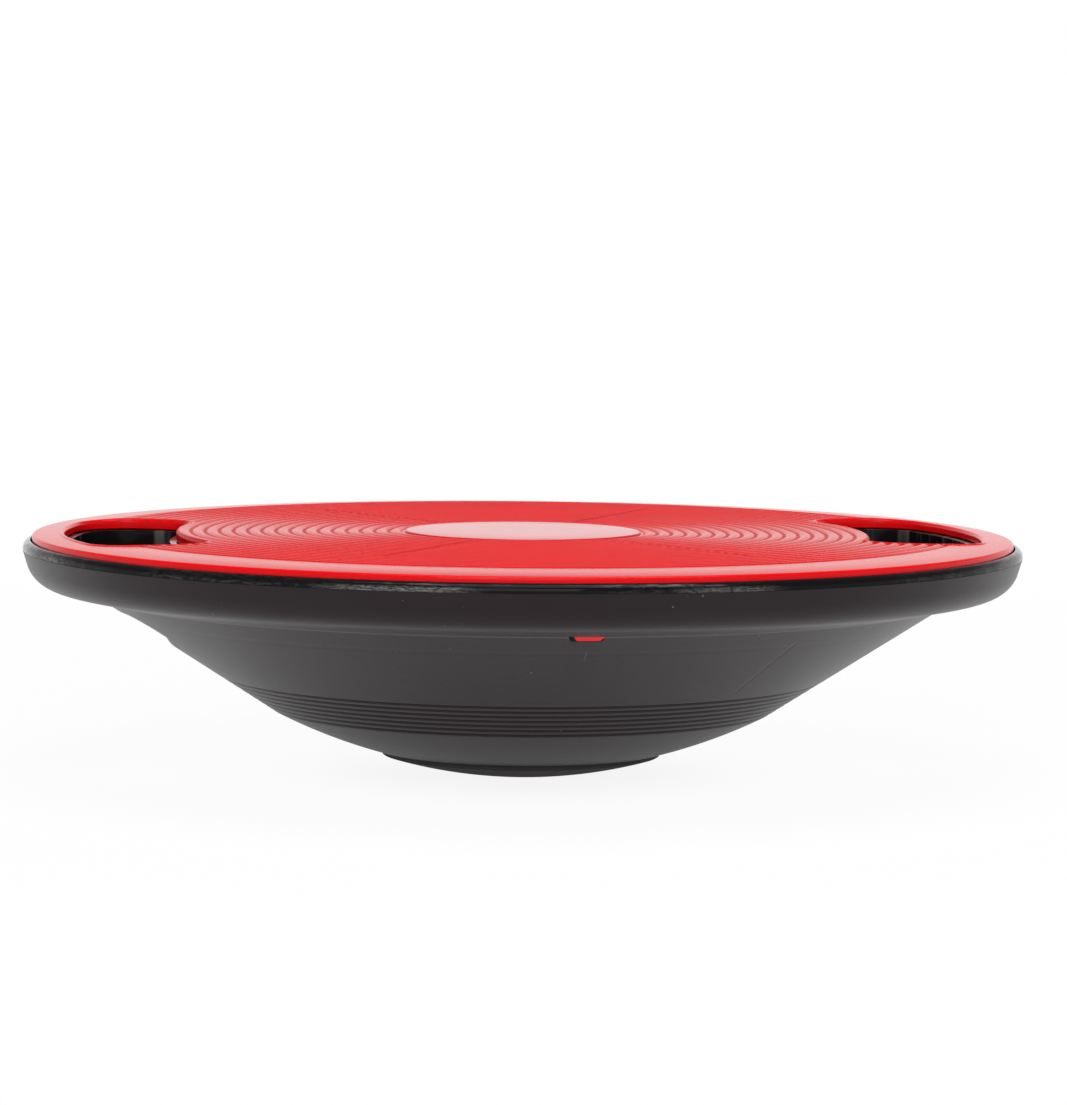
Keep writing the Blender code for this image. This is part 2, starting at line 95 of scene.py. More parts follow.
RIM_ROUND = 0.0130
RIM_INSIDE_ROUND = 0.0060
FOLD_RADIUS = 0.1704
UNDERSIDE_SLOPE = math.radians(11.3)
CONE_SLOPE = math.radians(33)
DOME_EDGE = 0.1000
SEAT_WIDTH = 0.0035
GROOVE_RADIUS = 0.1215
PAD_THICKNESS = 0.0030
PAD_PROUD = 0.0022
PAD_EDGE_PROUD = 0.0014
PAD_FLAT_RADIUS = 0.0080
SLOT_REBATE = 0.0016
GAP = 0.0003
SEAM_GAP = 0.0007

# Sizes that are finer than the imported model's, or a little different
PAD_RADIUS = 0.0560
HOOK_WIDTH = 0.0118
HOOK_OFFSET = 0.0008  # the hook stands this far to one side of its slot's middle
HOOK_WALL = 0.0016
HOOK_TAPER = 0.0016  # how much the hook and its slot narrow inwards, at each end
HOOK_CORNER = 0.0009
HOOK_BARB = 0.0013
HOOK_RADIUS = 0.1678
HOOK_GAP = 0.0006
SLOT_WIDTH = 0.0146
RECESS_ROUND = 0.0003  # on the land beside the badge
LIP_ROUND = 0.0016  # on the hand hole's edge
# Outwards from the hole's edge and down from the lip's top, from outside in
LIP_SECTION = (
    (0.0028, -0.00120),
    (0.0028, -0.00062),
    (0.0025, -0.00034),
    (0.0021, -0.00014),
    (0.0018, -0.00003),
)
FLANGE_CHAMFER = 0.0003  # on the flange's foot
TUNNEL_ROUND = 0.0004  # on the tunnel's top edge
FINGER_LIP = 0.0028  # round of the finger slot's edge under the bowl
PARTING_LINE = 0.00012  # half the height of the step at the rim's parting line
FOLD_ROUND = 0.0020  # in the fold between the rim's underside and the cone
FOLD_STRIP = 0.0016  # strip beside the fold that keeps the shading of its round narrow

# Levels and radii that follow from them
RIM_BORE = BOARD_RADIUS - RIM_BEAD
DECK_RADIUS = RIM_BORE - SEAM_GAP
RIDGE_START = BADGE_RADIUS + GAP + BADGE_LAND
TROUGH_LEVEL = BOARD_HEIGHT - RIDGE_DEPTH
FIELD_LEVEL = BOARD_HEIGHT - RIDGE_DEPTH / 2
RECESS_LEVEL = TROUGH_LEVEL - BADGE_RECESS
EDGE_LEVEL = FIELD_LEVEL - BORDER_DROP
SEAM_LEVEL = EDGE_LEVEL - EDGE_SHOW
DECK_UNDERSIDE = TROUGH_LEVEL - DECK_THICKNESS
DECK_BEDDING = DECK_UNDERSIDE + DECK_THICKNESS / 4  # what hangs below the deck starts here
SKIRT_FOOT = SEAM_LEVEL - SKIRT_DEPTH
SEAT_LEVEL = SKIRT_FOOT - GAP
FLANGE_FOOT = BOARD_HEIGHT - FLANGE_DEPTH
FLANGE_SHOULDER = TROUGH_LEVEL - 0.0010  # from here up the flange widens into the lip
TUNNEL_TOP = FLANGE_FOOT - GAP
LIP_TOP = BOARD_HEIGHT + LIP_PROUD
PARTING_LEVEL = SEAM_LEVEL - RIM_BAND
CORNER_RADIUS = BOARD_RADIUS - (RIM_DEPTH - RIM_BAND) * math.tan(RIM_DRAFT)
CORNER_LEVEL = SEAM_LEVEL - RIM_DEPTH
FOLD_LEVEL = CORNER_LEVEL - (CORNER_RADIUS - FOLD_RADIUS) * math.tan(UNDERSIDE_SLOPE)
CONE_FOOT = FOLD_LEVEL - (FOLD_RADIUS - DOME_EDGE) * math.tan(CONE_SLOPE)
DOME_RISE = CONE_FOOT - PAD_PROUD
DOME_RADIUS = (DOME_EDGE**2 + DOME_RISE**2) / (2 * DOME_RISE)
DOME_CENTRE = PAD_PROUD + DOME_RADIUS
DOME_SLOPE = math.asin(DOME_EDGE / DOME_RADIUS)
PAD_SUNK = PAD_THICKNESS - PAD_PROUD
FAR = 0.05  # how far a cutter runs past what it cuts
TINY = 0.000001
SHARP_ANGLE = math.radians(32)  # edges that turn further than this stay sharp

# Marks on the mouldings, and two stretches of the rim's band with painted highlights: azimuth in
# degrees, first and last radius, and width
SINK_LINES = [(azimuth, 0.049, 0.140, 0.0014) for azimuth in (60, 120, 240, 300)]
SCRATCH = (-89.5, 0.1525, 0.1625, 0.00035)
WITNESS_LINES = ((-58.5, 0.126, 0.164, 0.0012), (-160, 0.126, 0.166, 0.0016))
# stretches of the rim's band where highlights are painted low down
LEFT_GLINT = (-111.5, 0.180, 0.210, 0.036)
RIGHT_GLINT = (-76, 0.180, 0.210, 0.026)
STEP_RADIUS = 0.1590  # of a faint ring on the cone
BAND_START = 0.1900  # from this radius out the rim is polished above its parting line
INSIDE_START = 0.1250  # between these radii the shell is polished inside
INSIDE_END = 0.1890

# Colours of marks, of painted shade and of a painted highlight
TROUGH_SHADE_RED = (0.40, 0.001, 0.002)
FOLD_HIGHLIGHT_GREY = (0.10, 0.092, 0.095)
SCRATCH_GREY = (0.12, 0.11, 0.115)
SPECK_GREY = (0.25, 0.25, 0.25)
WHITE = (1.0, 1.0, 1.0, 1.0)
FLOOR_GREY = (0.8, 0.8, 0.8, 1.0)


# ------------------------ outlines


def arc(centre, radius, start, end, steps):
    """Points from angle start to angle end round a centre, both ends included."""
    x, y = centre
    turn = (end - start) / steps
    angles = [start + turn * i for i in range(steps + 1)]
    return [(x + radius * math.cos(angle), y + radius * math.sin(angle)) for angle in angles]


def fillet(before, corner, after, radius, steps=8):
    """The points of a round of that radius at the corner of two straight lines."""
    x, y = corner
    to_before = math.atan2(before[1] - y, before[0] - x)
    to_after = math.atan2(after[1] - y, after[0] - x)
    opening = (to_after - to_before + math.pi) % (2 * math.pi) - math.pi
    along = radius / math.tan(abs(opening) / 2)
    away = radius / math.sin(abs(opening) / 2)
    middle = to_before + opening / 2
    centre = (x + away * math.cos(middle), y + away * math.sin(middle))
    first = (x + along * math.cos(to_before), y + along * math.sin(to_before))
    start = math.atan2(first[1] - centre[1], first[0] - centre[0])
    sweep = -math.copysign(math.pi - abs(opening), opening)
    return arc(centre, radius, start, start + sweep, steps)


def bowl_edge(inset=0.0):
    """Where the cone meets the dome, on a surface inset into the wall."""
    middle = (CONE_SLOPE + DOME_SLOPE) / 2
    away = inset / math.cos((CONE_SLOPE - DOME_SLOPE) / 2)
    return DOME_EDGE - away * math.sin(middle), CONE_FOOT + away * math.cos(middle)


def bowl_level(radius, inset=0.0):
    """Height of the dome, cone or rim underside at a radius, on a surface inset into the wall."""
    edge, edge_level = bowl_edge(inset)
    if radius <= edge:
        return DOME_CENTRE - math.sqrt((DOME_RADIUS - inset) ** 2 - radius**2)
    if radius <= FOLD_RADIUS:
        return edge_level + (radius - edge) * math.tan(CONE_SLOPE)
    fold_level = edge_level + (FOLD_RADIUS - edge) * math.tan(CONE_SLOPE)
    return fold_level + (radius - FOLD_RADIUS) * math.tan(UNDERSIDE_SLOPE)


def dome_points(first, last, inset, steps):
    """Points on the dome from one radius to another, evenly turned."""
    curve = DOME_RADIUS - inset
    start, end = [math.asin(radius / curve) - math.pi / 2 for radius in (first, last)]
    return arc((0, DOME_CENTRE), curve, start, end, steps)


def corner_centre(reach, corner, end):
    """Centre, at a reach from the middle, of a corner round that touches the line at angle end."""
    along = math.sqrt(reach**2 - corner**2)
    return (
        along * math.cos(end) + corner * math.sin(end),
        along * math.sin(end) - corner * math.cos(end),
    )


def kidney(inner_radius, outer_radius, end, inner_corner, outer_corner, grow):
    """An outline on +X, grown all round: two arcs about the middle and rounded radial ends."""
    inner = corner_centre(inner_radius + inner_corner, inner_corner, end)
    outer = corner_centre(outer_radius - outer_corner, outer_corner, end)
    inner_turn = math.atan2(inner[1], inner[0])
    outer_turn = math.atan2(outer[1], outer[0])
    side = end + math.pi / 2
    half = arc((0, 0), outer_radius + grow, 0, outer_turn, 14)
    half += arc(outer, outer_corner + grow, outer_turn, side, 16)[1:]
    half += arc(inner, inner_corner + grow, side, inner_turn + math.pi, 16)
    half += arc((0, 0), inner_radius - grow, inner_turn, 0, 14)[1:]
    return half + [(x, -y) for x, y in half[-2:0:-1]]


def hand_hole_outline(grow):
    corners = (HOLE_INNER_CORNER, HOLE_OUTER_CORNER)
    return kidney(HOLE_INNER_RADIUS, HOLE_OUTER_RADIUS, HOLE_HALF_ANGLE, *corners, grow)


def finger_slot_outline(grow):
    corners = (FINGER_CORNER, FINGER_CORNER)
    return kidney(FINGER_INNER_RADIUS, FINGER_OUTER_RADIUS, FINGER_HALF_ANGLE, *corners, grow)


def outline_at(outline, level, rise=0.0):
    """An outline's points, raised above a level or above what a function gives for their radius."""
    if not callable(level):
        return [(x, y, level + rise) for x, y in outline]
    return [(x, y, level(math.hypot(x, y)) + rise) for x, y in outline]


def lip_level(radius):
    """Top of a hand hole's lip: level over the ridges and falling with the border."""
    fall = BORDER_DROP / (DECK_RADIUS - RIDGE_REACH)
    return LIP_TOP - max(0.0, radius - RIDGE_REACH) * fall


# ------------------------ node trees


def of_two(operation, swapped=False):
    """A method of Wire that adds the Math node of an operation on two values."""

    def method(self, other):
        return self.math(operation, *((other, self) if swapped else (self, other)))

    return method


def of_one(operation):
    """A method of Wire that adds the Math node of an operation on one value."""
    return lambda self: self.math(operation, self)


class Wire:
    """A node socket that takes part in sums: an expression on wires and numbers adds nodes."""

    __add__ = of_two("ADD")
    __radd__ = of_two("ADD", swapped=True)
    __sub__ = of_two("SUBTRACT")
    __rsub__ = of_two("SUBTRACT", swapped=True)
    __mul__ = of_two("MULTIPLY")
    __rmul__ = of_two("MULTIPLY", swapped=True)
    __truediv__ = of_two("DIVIDE")
    __rtruediv__ = of_two("DIVIDE", swapped=True)
    __mod__ = of_two("MODULO")
    __rmod__ = of_two("MODULO", swapped=True)
    __pow__ = of_two("POWER")
    __rpow__ = of_two("POWER", swapped=True)
    __gt__ = of_two("GREATER_THAN")
    __lt__ = of_two("LESS_THAN")
    least = of_two("MINIMUM")
    most = of_two("MAXIMUM")
    size = of_one("ABSOLUTE")
    whole = of_one("FLOOR")
    sine = of_one("SINE")
    cosine = of_one("COSINE")

    def __init__(self, tree, socket):
        self.tree = tree
        self.socket = socket

    def math(self, operation, *values):
        return self.tree.add("ShaderNodeMath", {"operation": operation}, dict(enumerate(values)))

    def ramp(self, low, high):
        """0 below low, 1 above high, and smooth between them."""
        values = {"Value": self, "From Min": low, "From Max": high}
        return self.tree.add("ShaderNodeMapRange", {"interpolation_type": "SMOOTHSTEP"}, values)


class Tree:
    """A node tree, filled one node at a time."""

    def __init__(self, nodes_tree):
        self.nodes_tree = nodes_tree

    def add(self, kind, settings=None, values=None, output=0):
        """A node of that kind, its settings and then its sockets filled. Gives one output."""
        made = self.nodes_tree.nodes.new(kind)
        for name, value in (settings or {}).items():
            setattr(made, name, value)
        self.fill(made, values or {})
        return Wire(self, made.outputs[output])

    def fill(self, node, values):
        """Fills a node's sockets, each with a wire or a fixed value."""
        for name, value in values.items():
            if isinstance(value, Wire):
                self.nodes_tree.links.new(value.socket, node.inputs[name])
            else:
                node.inputs[name].default_value = value

    def vector(self, x, y, z):
        return self.add("ShaderNodeCombineXYZ", None, {0: x, 1: y, 2: z})

    def parts(self, vector):
        """The X, Y and Z of a vector as three wires."""
        first = self.add("ShaderNodeSeparateXYZ", None, {0: vector})
        return [Wire(self, socket) for socket in first.socket.node.outputs]

    def blend(self, factor, first, second):
        """One colour fading into another. A colour is a wire or three numbers."""
        first, second = [c if isinstance(c, Wire) else (*c, 1.0) for c in (first, second)]
        values = {0: factor, 6: first, 7: second}
        return self.add("ShaderNodeMix", {"data_type": "RGBA"}, values, 2)




def group_tree(name, inputs):
    """An empty Geometry Nodes tree with a Geometry input and output and these other inputs."""
    group = bpy.data.node_groups.new(name, "GeometryNodeTree")
    for label, kind in {"Geometry": "Geometry", **inputs}.items():
        group.interface.new_socket(label, in_out="INPUT", socket_type=f"NodeSocket{kind}")
    group.interface.new_socket("Geometry", in_out="OUTPUT", socket_type="NodeSocketGeometry")
    entry = group.nodes.new("NodeGroupInput")
    tree = Tree(group)
    return tree, {socket.name: Wire(tree, socket) for socket in entry.outputs if socket.name}


def close_tree(tree, geometry, finish):
    """Ends a tree: instances made real, then the finish."""
    real = tree.add("GeometryNodeRealizeInstances", None, {"Geometry": geometry})
    done = tree.add("GeometryNodeSetMaterial", None, {"Geometry": real, "Material": finish})
    tree.fill(tree.nodes_tree.nodes.new("NodeGroupOutput"), {"Geometry": done})
    return tree.nodes_tree


def turned_tree():
    """Turns a profile about Z, with even ridges or grooves where the profile says so."""
    inputs = {
        "Segments": "Int",
        "Ridge Start": "Float",
        "Ridge Pitch": "Float",
        "Ridge Count": "Int",
        "Ridge Width": "Float",
        "Ridge Height": "Float",
        "Finish": "Material",
    }
    tree, given = group_tree("Turned Shape", inputs)
    profile = given["Geometry"]
    mesh = {"component": "MESH"}
    rows = tree.add("GeometryNodeAttributeDomainSize", mesh, {"Geometry": profile})
    columns = given["Segments"] + 1
    sheet = {"Size X": 1.0, "Size Y": 1.0, "Vertices X": columns, "Vertices Y": rows}
    grid = tree.add("GeometryNodeMeshGrid", None, sheet)
    index = tree.add("GeometryNodeInputIndex")
    column = ((index + 0.5) / rows).whole()
    row = index - column * rows

    def sampled(kind, value):
        """The value at this row's point of the profile."""
        values = {"Geometry": profile, "Value": value, "Index": row}
        settings = {"data_type": kind, "domain": "POINT"}
        return tree.add("GeometryNodeSampleIndex", settings, values)

    point = sampled("FLOAT_VECTOR", tree.add("GeometryNodeInputPosition"))
    ridged = {"data_type": "FLOAT"}
    weight = tree.add("GeometryNodeInputNamedAttribute", ridged, {"Name": "ridged"})
    weight = sampled("FLOAT", weight)
    radius, _, level = tree.parts(point)
    start, pitch = given["Ridge Start"], given["Ridge Pitch"]
    nearest = ((radius - start) / pitch).whole().most(0.0).least(given["Ridge Count"] - 1)
    away = (radius - start - (nearest + 0.5) * pitch).size()
    wave = ((away / given["Ridge Width"]).least(0.5) * (2 * math.pi)).cosine()
    raised = level + (wave + 1) * 0.5 * weight * given["Ridge Height"]
    angle = column / given["Segments"] * (2 * math.pi)
    spot = tree.vector(radius * angle.cosine(), radius * angle.sine(), raised)
    shape = tree.add("GeometryNodeSetPosition", None, {"Geometry": grid, "Position": spot})
    joined = {"Geometry": shape, "Distance": TINY}
    shape = tree.add("GeometryNodeMergeByDistance", None, joined)
    smooth = {"Geometry": shape, "Shade Smooth": True}
    shape = tree.add("GeometryNodeSetShadeSmooth", None, smooth)
    return close_tree(tree, shape, given["Finish"])


def ring_tree():
    """Sets copies of one feature round Z, evenly turned, with every so many left out."""
    inputs = {"Count": "Int", "First Angle": "Float", "Skip Every": "Int", "Finish": "Material"}
    tree, given = group_tree("Set Round", inputs)
    still = {"Count": given["Count"], "Offset": (0.0, 0.0, 0.0)}
    line = tree.add("GeometryNodeMeshLine", None, still)
    index = tree.add("GeometryNodeInputIndex")
    angle = index / given["Count"] * (2 * math.pi) + given["First Angle"]
    turn = tree.vector(0.0, 0.0, angle)
    skip = given["Skip Every"]
    kept = (index % skip.most(1) + (skip < 1)) > 0.5
    values = {
        "Points": line,
        "Selection": kept,
        "Instance": given["Geometry"],
        "Rotation": turn,
    }
    copies = tree.add("GeometryNodeInstanceOnPoints", None, values)
    return close_tree(tree, copies, given["Finish"])


# ------------------------ meshes


def link(name, data):
    """A new object in the scene."""
    made = bpy.data.objects.new(name, data)
    bpy.context.scene.collection.objects.link(made)
    return made


def settle(made):
    """Turns what an object's modifiers make into its own plain mesh."""
    bpy.context.view_layer.update()
    graph = bpy.context.evaluated_depsgraph_get()
    mesh = bpy.data.meshes.new_from_object(made.evaluated_get(graph))
    made.modifiers.clear()
    made.data = mesh
    return made


def run_tree(made, group, values):
    """Runs a Geometry Nodes tree on an object and keeps the result as its mesh."""
    step = made.modifiers.new(group.name, "NODES")
    step.node_group = group
    for item in group.interface.items_tree:
        if item.in_out == "INPUT" and item.name in values:
            step[item.identifier] = values[item.name]
    return settle(made)


def face_outwards(made):
    """Joins doubled vertices and points every face out of its solid."""
    bm = bmesh.new()
    bm.from_mesh(made.data)
    bmesh.ops.remove_doubles(bm, verts=bm.verts, dist=TINY)
    bmesh.ops.recalc_face_normals(bm, faces=bm.faces)
    bm.to_mesh(made.data)
    bm.free()
    return made


def turned(name, profile, segments, finish, ridges=(0.0, 1.0, 1, 1.0, 0.0)):
    """A solid turned about Z from points of (radius, level) or (radius, level, ridge weight).

    Ridges are given as the first one's start, the pitch, the count, the width and the height.
    """
    mesh = bpy.data.meshes.new(name)
    points = [(point[0], 0.0, point[1]) for point in profile]
    mesh.from_pydata(points, [(i, i + 1) for i in range(len(points) - 1)], [])
    weights = [point[2] if len(point) > 2 else 0.0 for point in profile]
    mesh.attributes.new("ridged", "FLOAT", "POINT").data.foreach_set("value", weights)
    names = ("Ridge Start", "Ridge Pitch", "Ridge Count", "Ridge Width", "Ridge Height")
    values = {"Segments": segments, "Finish": finish, **dict(zip(names, ridges))}
    group = bpy.data.node_groups.get("Turned Shape") or turned_tree()
    return face_outwards(run_tree(link(name, mesh), group, values))


def lofted(name, rings, closed=False):
    """A solid through rings of points of equal count: capped at its ends, or closed on itself."""
    bm = bmesh.new()
    loops = [[bm.verts.new(point) for point in ring] for ring in rings]
    pairs = list(zip(loops, loops[1:]))
    if closed:
        pairs.append((loops[-1], loops[0]))
    else:
        bm.faces.new(loops[0][::-1])
        bm.faces.new(loops[-1])
    for lower, upper in pairs:
        for i in range(len(lower)):
            j = (i + 1) % len(lower)
            bm.faces.new((lower[i], lower[j], upper[j], upper[i]))
    bmesh.ops.recalc_face_normals(bm, faces=bm.faces)
    mesh = bpy.data.meshes.new(name)
    bm.to_mesh(mesh)
    bm.free()
    return link(name, mesh)


def extruded(name, outline, width, offset=0.0):
    """An upright outline of (radius, level) points on the XZ plane, given a width along Y."""
    sides = (offset - width / 2, offset + width / 2)
    return lofted(name, [[(radius, y, level) for radius, level in outline] for y in sides])


def upright_block(name, outline, low, high):
    """A level outline, raised from one level to another."""
    return lofted(name, [outline_at(outline, level) for level in (low, high)])


def set_round(made, count, finish, first_angle=0.0, skip_every=0):
    """Copies a feature evenly round Z."""
    values = {
        "Count": count,
        "First Angle": first_angle,
        "Skip Every": skip_every,
        "Finish": finish,
    }
    return run_tree(made, bpy.data.node_groups.get("Set Round") or ring_tree(), values)


def combine(piece, operation, *tools):
    """Joins or cuts with each tool in turn, and drops the tools."""
    for tool in tools:
        step = piece.modifiers.new(tool.name, "BOOLEAN")
        step.operation = operation
        step.object = tool
        step.solver = "MANIFOLD"
        settle(piece)
        bpy.data.objects.remove(tool)
    return piece


def finish_piece(made, node, finish):
    """Ends a piece: clean mesh, shaded rounds, its finish, and its place in the frame."""
    face_outwards(made)
    mesh = made.data
    mesh.name = made.name
    mesh.materials.clear()
    mesh.materials.append(finish)
    mesh.polygons.foreach_set("material_index", [0] * len(mesh.polygons))
    mesh.shade_smooth()
    mesh.set_sharp_from_angle(angle=SHARP_ANGLE)
    weights = mesh.attributes.get("ridged")
    if weights:
        mesh.attributes.remove(weights)
    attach(made, BODY)
    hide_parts(node)


# ------------------------ finishes


def new_finish(name):
    """A material with a Principled shader: its tree, the shader node and Object coordinates."""
    material = bpy.data.materials.new(name)
    material.use_nodes = True
    shader = material.node_tree.nodes["Principled BSDF"]
    tree = Tree(material.node_tree)
    return material, tree, shader, tree.add("ShaderNodeTexCoord", None, None, "Object")


def noise(tree, place, scale, detail=2.0, roughness=0.5):
    """A smooth random pattern from 0 to 1: scale is how many features there are to a metre."""
    values = {"Vector": place, "Scale": scale, "Detail": detail, "Roughness": roughness}
    return tree.add("ShaderNodeTexNoise", {"noise_dimensions": "3D"}, values)


def bump(tree, height, distance):
    return tree.add("ShaderNodeBump", None, {"Height": height, "Distance": distance})


def far_from_axis(tree, place):
    """Distance from the board's axis, and level."""
    x, y, level = tree.parts(place)
    return (x * x + y * y) ** 0.5, level


def radial_line(tree, place, degrees, first, last, width):
    """1 on a thin line that runs out from the middle at an azimuth, and 0 away from it."""
    cosine = math.cos(math.radians(degrees))
    sine = math.sin(math.radians(degrees))
    x, y, _ = tree.parts(place)
    out = x * cosine + y * sine
    side = (y * cosine - x * sine).size()
    fade = 0.004  # at both ends
    near = 1 - side.ramp(width * 0.3, width)
    return near * out.ramp(first, first + fade) * (1 - out.ramp(last - fade, last))


def radial_lines(tree, place, lines):
    """1 on any of some radial lines."""
    return reduce(Wire.most, [radial_line(tree, place, *line) for line in lines])


def red_plastic(settings):
    """Satin moulded plastic: fine grain, sink lines over the ribs, duller troughs, and painted
    shade that darkens the troughs and the sink lines.
    """
    material, tree, shader, place = new_finish("red_satin_plastic")
    radius, level = far_from_axis(tree, place)
    grain = noise(tree, place, 1400.0, 3.0, 0.6)
    wave = noise(tree, place, 32.0)
    on_top = level.ramp(TROUGH_LEVEL - 0.0005, TROUGH_LEVEL - 0.0002)
    sink = radial_lines(tree, place, SINK_LINES) * on_top
    smooth = radius.ramp(RIDGE_REACH, RIDGE_REACH + 0.001)
    ridged = radius.ramp(RIDGE_START, RIDGE_START + 0.0005) * (1 - smooth)
    phase = ((radius - RIDGE_START) * (2 * math.pi / settings.ridge_pitch)).cosine()
    # painted shade: the troughs and the sink lines are darkened in colour, and the same mask makes
    # them rougher
    dark = (phase.ramp(0.3, 1.0) * ridged * on_top).most(sink)
    shade = tree.blend(wave.ramp(0.35, 0.65), settings.colour, settings.deep_colour)
    dull = smooth * (settings.border_roughness - settings.roughness) + settings.roughness
    values = {
        "Base Color": tree.blend(dark * settings.trough_shade, shade, TROUGH_SHADE_RED),
        "Roughness": grain * 0.08 + dull + dark * settings.trough_roughness,
        "Normal": bump(tree, grain * 0.25 + wave * 1.2 - sink * 2.5, 0.00003),
        "IOR": settings.gloss_index,
    }
    tree.fill(shader, values)
    return material


def badge_plastic(settings):
    """Smooth glossy plastic with slight waviness."""
    material, tree, shader, place = new_finish("red_gloss_plastic")
    wave = noise(tree, place, 45.0)
    fine = noise(tree, place, 900.0)
    values = {
        "Base Color": tree.blend(wave, settings.colour, settings.deep_colour),
        "Roughness": fine * 0.06 + settings.roughness,
        "Normal": bump(tree, wave + fine * 0.05, 0.00005),
        "IOR": settings.gloss_index,
    }
    tree.fill(shader, values)
    return material


def black_plastic(settings):
    """Fine matte grain outside, polished on the rim's band above the parting line and inside."""
    material, tree, shader, place = new_finish("black_moulded_plastic")
    radius, level = far_from_axis(tree, place)
    cloud = noise(tree, place, 14.0, 3.0)
    matte_look(settings, tree, shader, place, radius, cloud)
    matte = Wire(tree, shader.outputs["BSDF"])

    above_line = level.ramp(PARTING_LEVEL - 0.0001, PARTING_LEVEL + 0.0001)
    band = above_line * radius.ramp(BAND_START, BAND_START + 0.0005)
    outer_face = bowl_level(FOLD_RADIUS) + (radius - FOLD_RADIUS) * math.tan(CONE_SLOPE)
    depth = level - outer_face
    below_band = 1 - level.ramp(PARTING_LEVEL, PARTING_LEVEL + 0.001)
    past_wall = depth.ramp(SHELL_WALL * 0.8, SHELL_WALL)
    inside = past_wall * radius.ramp(INSIDE_START, INSIDE_START + 0.005)
    inside = inside * (1 - radius.ramp(INSIDE_END, INSIDE_END + 0.0005) * below_band)
    walls = (inside - band) * depth.ramp(SHELL_WALL * 1.4, SHELL_WALL * 2)
    polished = polished_look(settings, tree, place, cloud, band, inside, walls)
    mixed = {0: band.most(inside), 1: matte, 2: polished}
    mixed = tree.add("ShaderNodeMixShader", None, mixed)
    tree.fill(material.node_tree.nodes["Material Output"], {"Surface": mixed})
    return material


def matte_look(settings, tree, shader, place, radius, cloud):
    """Grain, faint specks, a scratch, a painted highlight along the fold, and witness lines of the
    mould.
    """
    grain = noise(tree, place, 2200.0, 2.0, 0.6)
    mottle = noise(tree, place, 800.0)
    specks = noise(tree, place, 520.0, 1.0).ramp(0.77, 0.82)
    specks = specks * noise(tree, place, 60.0).ramp(0.45, 0.6)
    fold = 1 - (radius - FOLD_RADIUS).size().ramp(0.0003, 0.0010)
    step = 1 - (radius - STEP_RADIUS).size().ramp(0.0003, 0.0020)
    scratch = radial_line(tree, place, *SCRATCH)
    witness = radial_lines(tree, place, WITNESS_LINES)
    base = tree.blend(cloud.ramp(0.3, 0.7), settings.colour, settings.light_colour)
    # painted highlight: the colour turns paler along the fold line
    base = tree.blend(fold * 0.5, base, FOLD_HIGHLIGHT_GREY)
    base = tree.blend(scratch * 0.4, base, SCRATCH_GREY)
    relief = grain + mottle * 0.9 - witness * 1.5 - step * 0.6
    values = {
        "Base Color": tree.blend(specks * 0.5, base, SPECK_GREY),
        "Roughness": grain * 0.12 + settings.roughness,
        "Normal": bump(tree, relief, 0.00005),
        "IOR": settings.gloss_index,
    }
    tree.fill(shader, values)


def polished_look(settings, tree, place, cloud, band, inside, walls):
    """Clear gloss in patches on the band and in streaks inside, with painted highlights: paler
    patches low on the band and paler upright streaks on the tunnel walls.
    """
    x, y, level = tree.parts(place)
    flat = tree.vector(x, y, level * 5.0)  # patterns read here lie flat
    upright = tree.vector(x, y, level * 0.05)  # and here they stand upright
    patches = noise(tree, flat, 260.0, 4.0, 0.7).ramp(0.42, 0.62) * cloud.ramp(0.42, 0.6)
    streaks = noise(tree, upright, 150.0).ramp(0.52, 0.70)
    left = radial_line(tree, place, *LEFT_GLINT)
    right = radial_line(tree, place, *RIGHT_GLINT) * 0.6
    low = 1 - level.ramp(PARTING_LEVEL + 0.0012, PARTING_LEVEL + 0.0024)
    # painted highlights: the colour turns paler in patches low on the band, and in upright streaks
    # on the tunnel walls
    glinting = noise(tree, flat, 520.0, 4.0, 0.8).ramp(0.36, 0.72) * left.most(right) * band * low
    glints = glinting.most(streaks * walls * 0.3)
    values = {
        "Base Color": tree.blend(glints, settings.polished_colour, settings.glint_colour),
        "Roughness": settings.polished_roughness,
        "IOR": settings.polished_index,
        "Coat Weight": (patches * band + streaks * inside * 0.4) * settings.polish,
        "Coat Roughness": settings.polished_roughness,
        "Normal": bump(tree, noise(tree, place, 70.0, 3.0, 0.6), 0.0001),
    }
    return tree.add("ShaderNodeBsdfPrincipled", None, values)


def pad_rubber(settings):
    """Dull rubber with a coarse grain."""
    material, tree, shader, place = new_finish("black_rubber")
    grain = noise(tree, place, 1100.0, 3.0, 0.65)
    values = {
        "Base Color": tree.blend(noise(tree, place, 60.0), settings.colour, settings.light_colour),
        "Roughness": grain * 0.15 + settings.roughness,
        "Normal": bump(tree, grain, 0.00012),
    }
    tree.fill(shader, values)
    return material


# ------------------------ deck


def ridge_count(settings):
    return round((RIDGE_REACH - RIDGE_START) / settings.ridge_pitch)


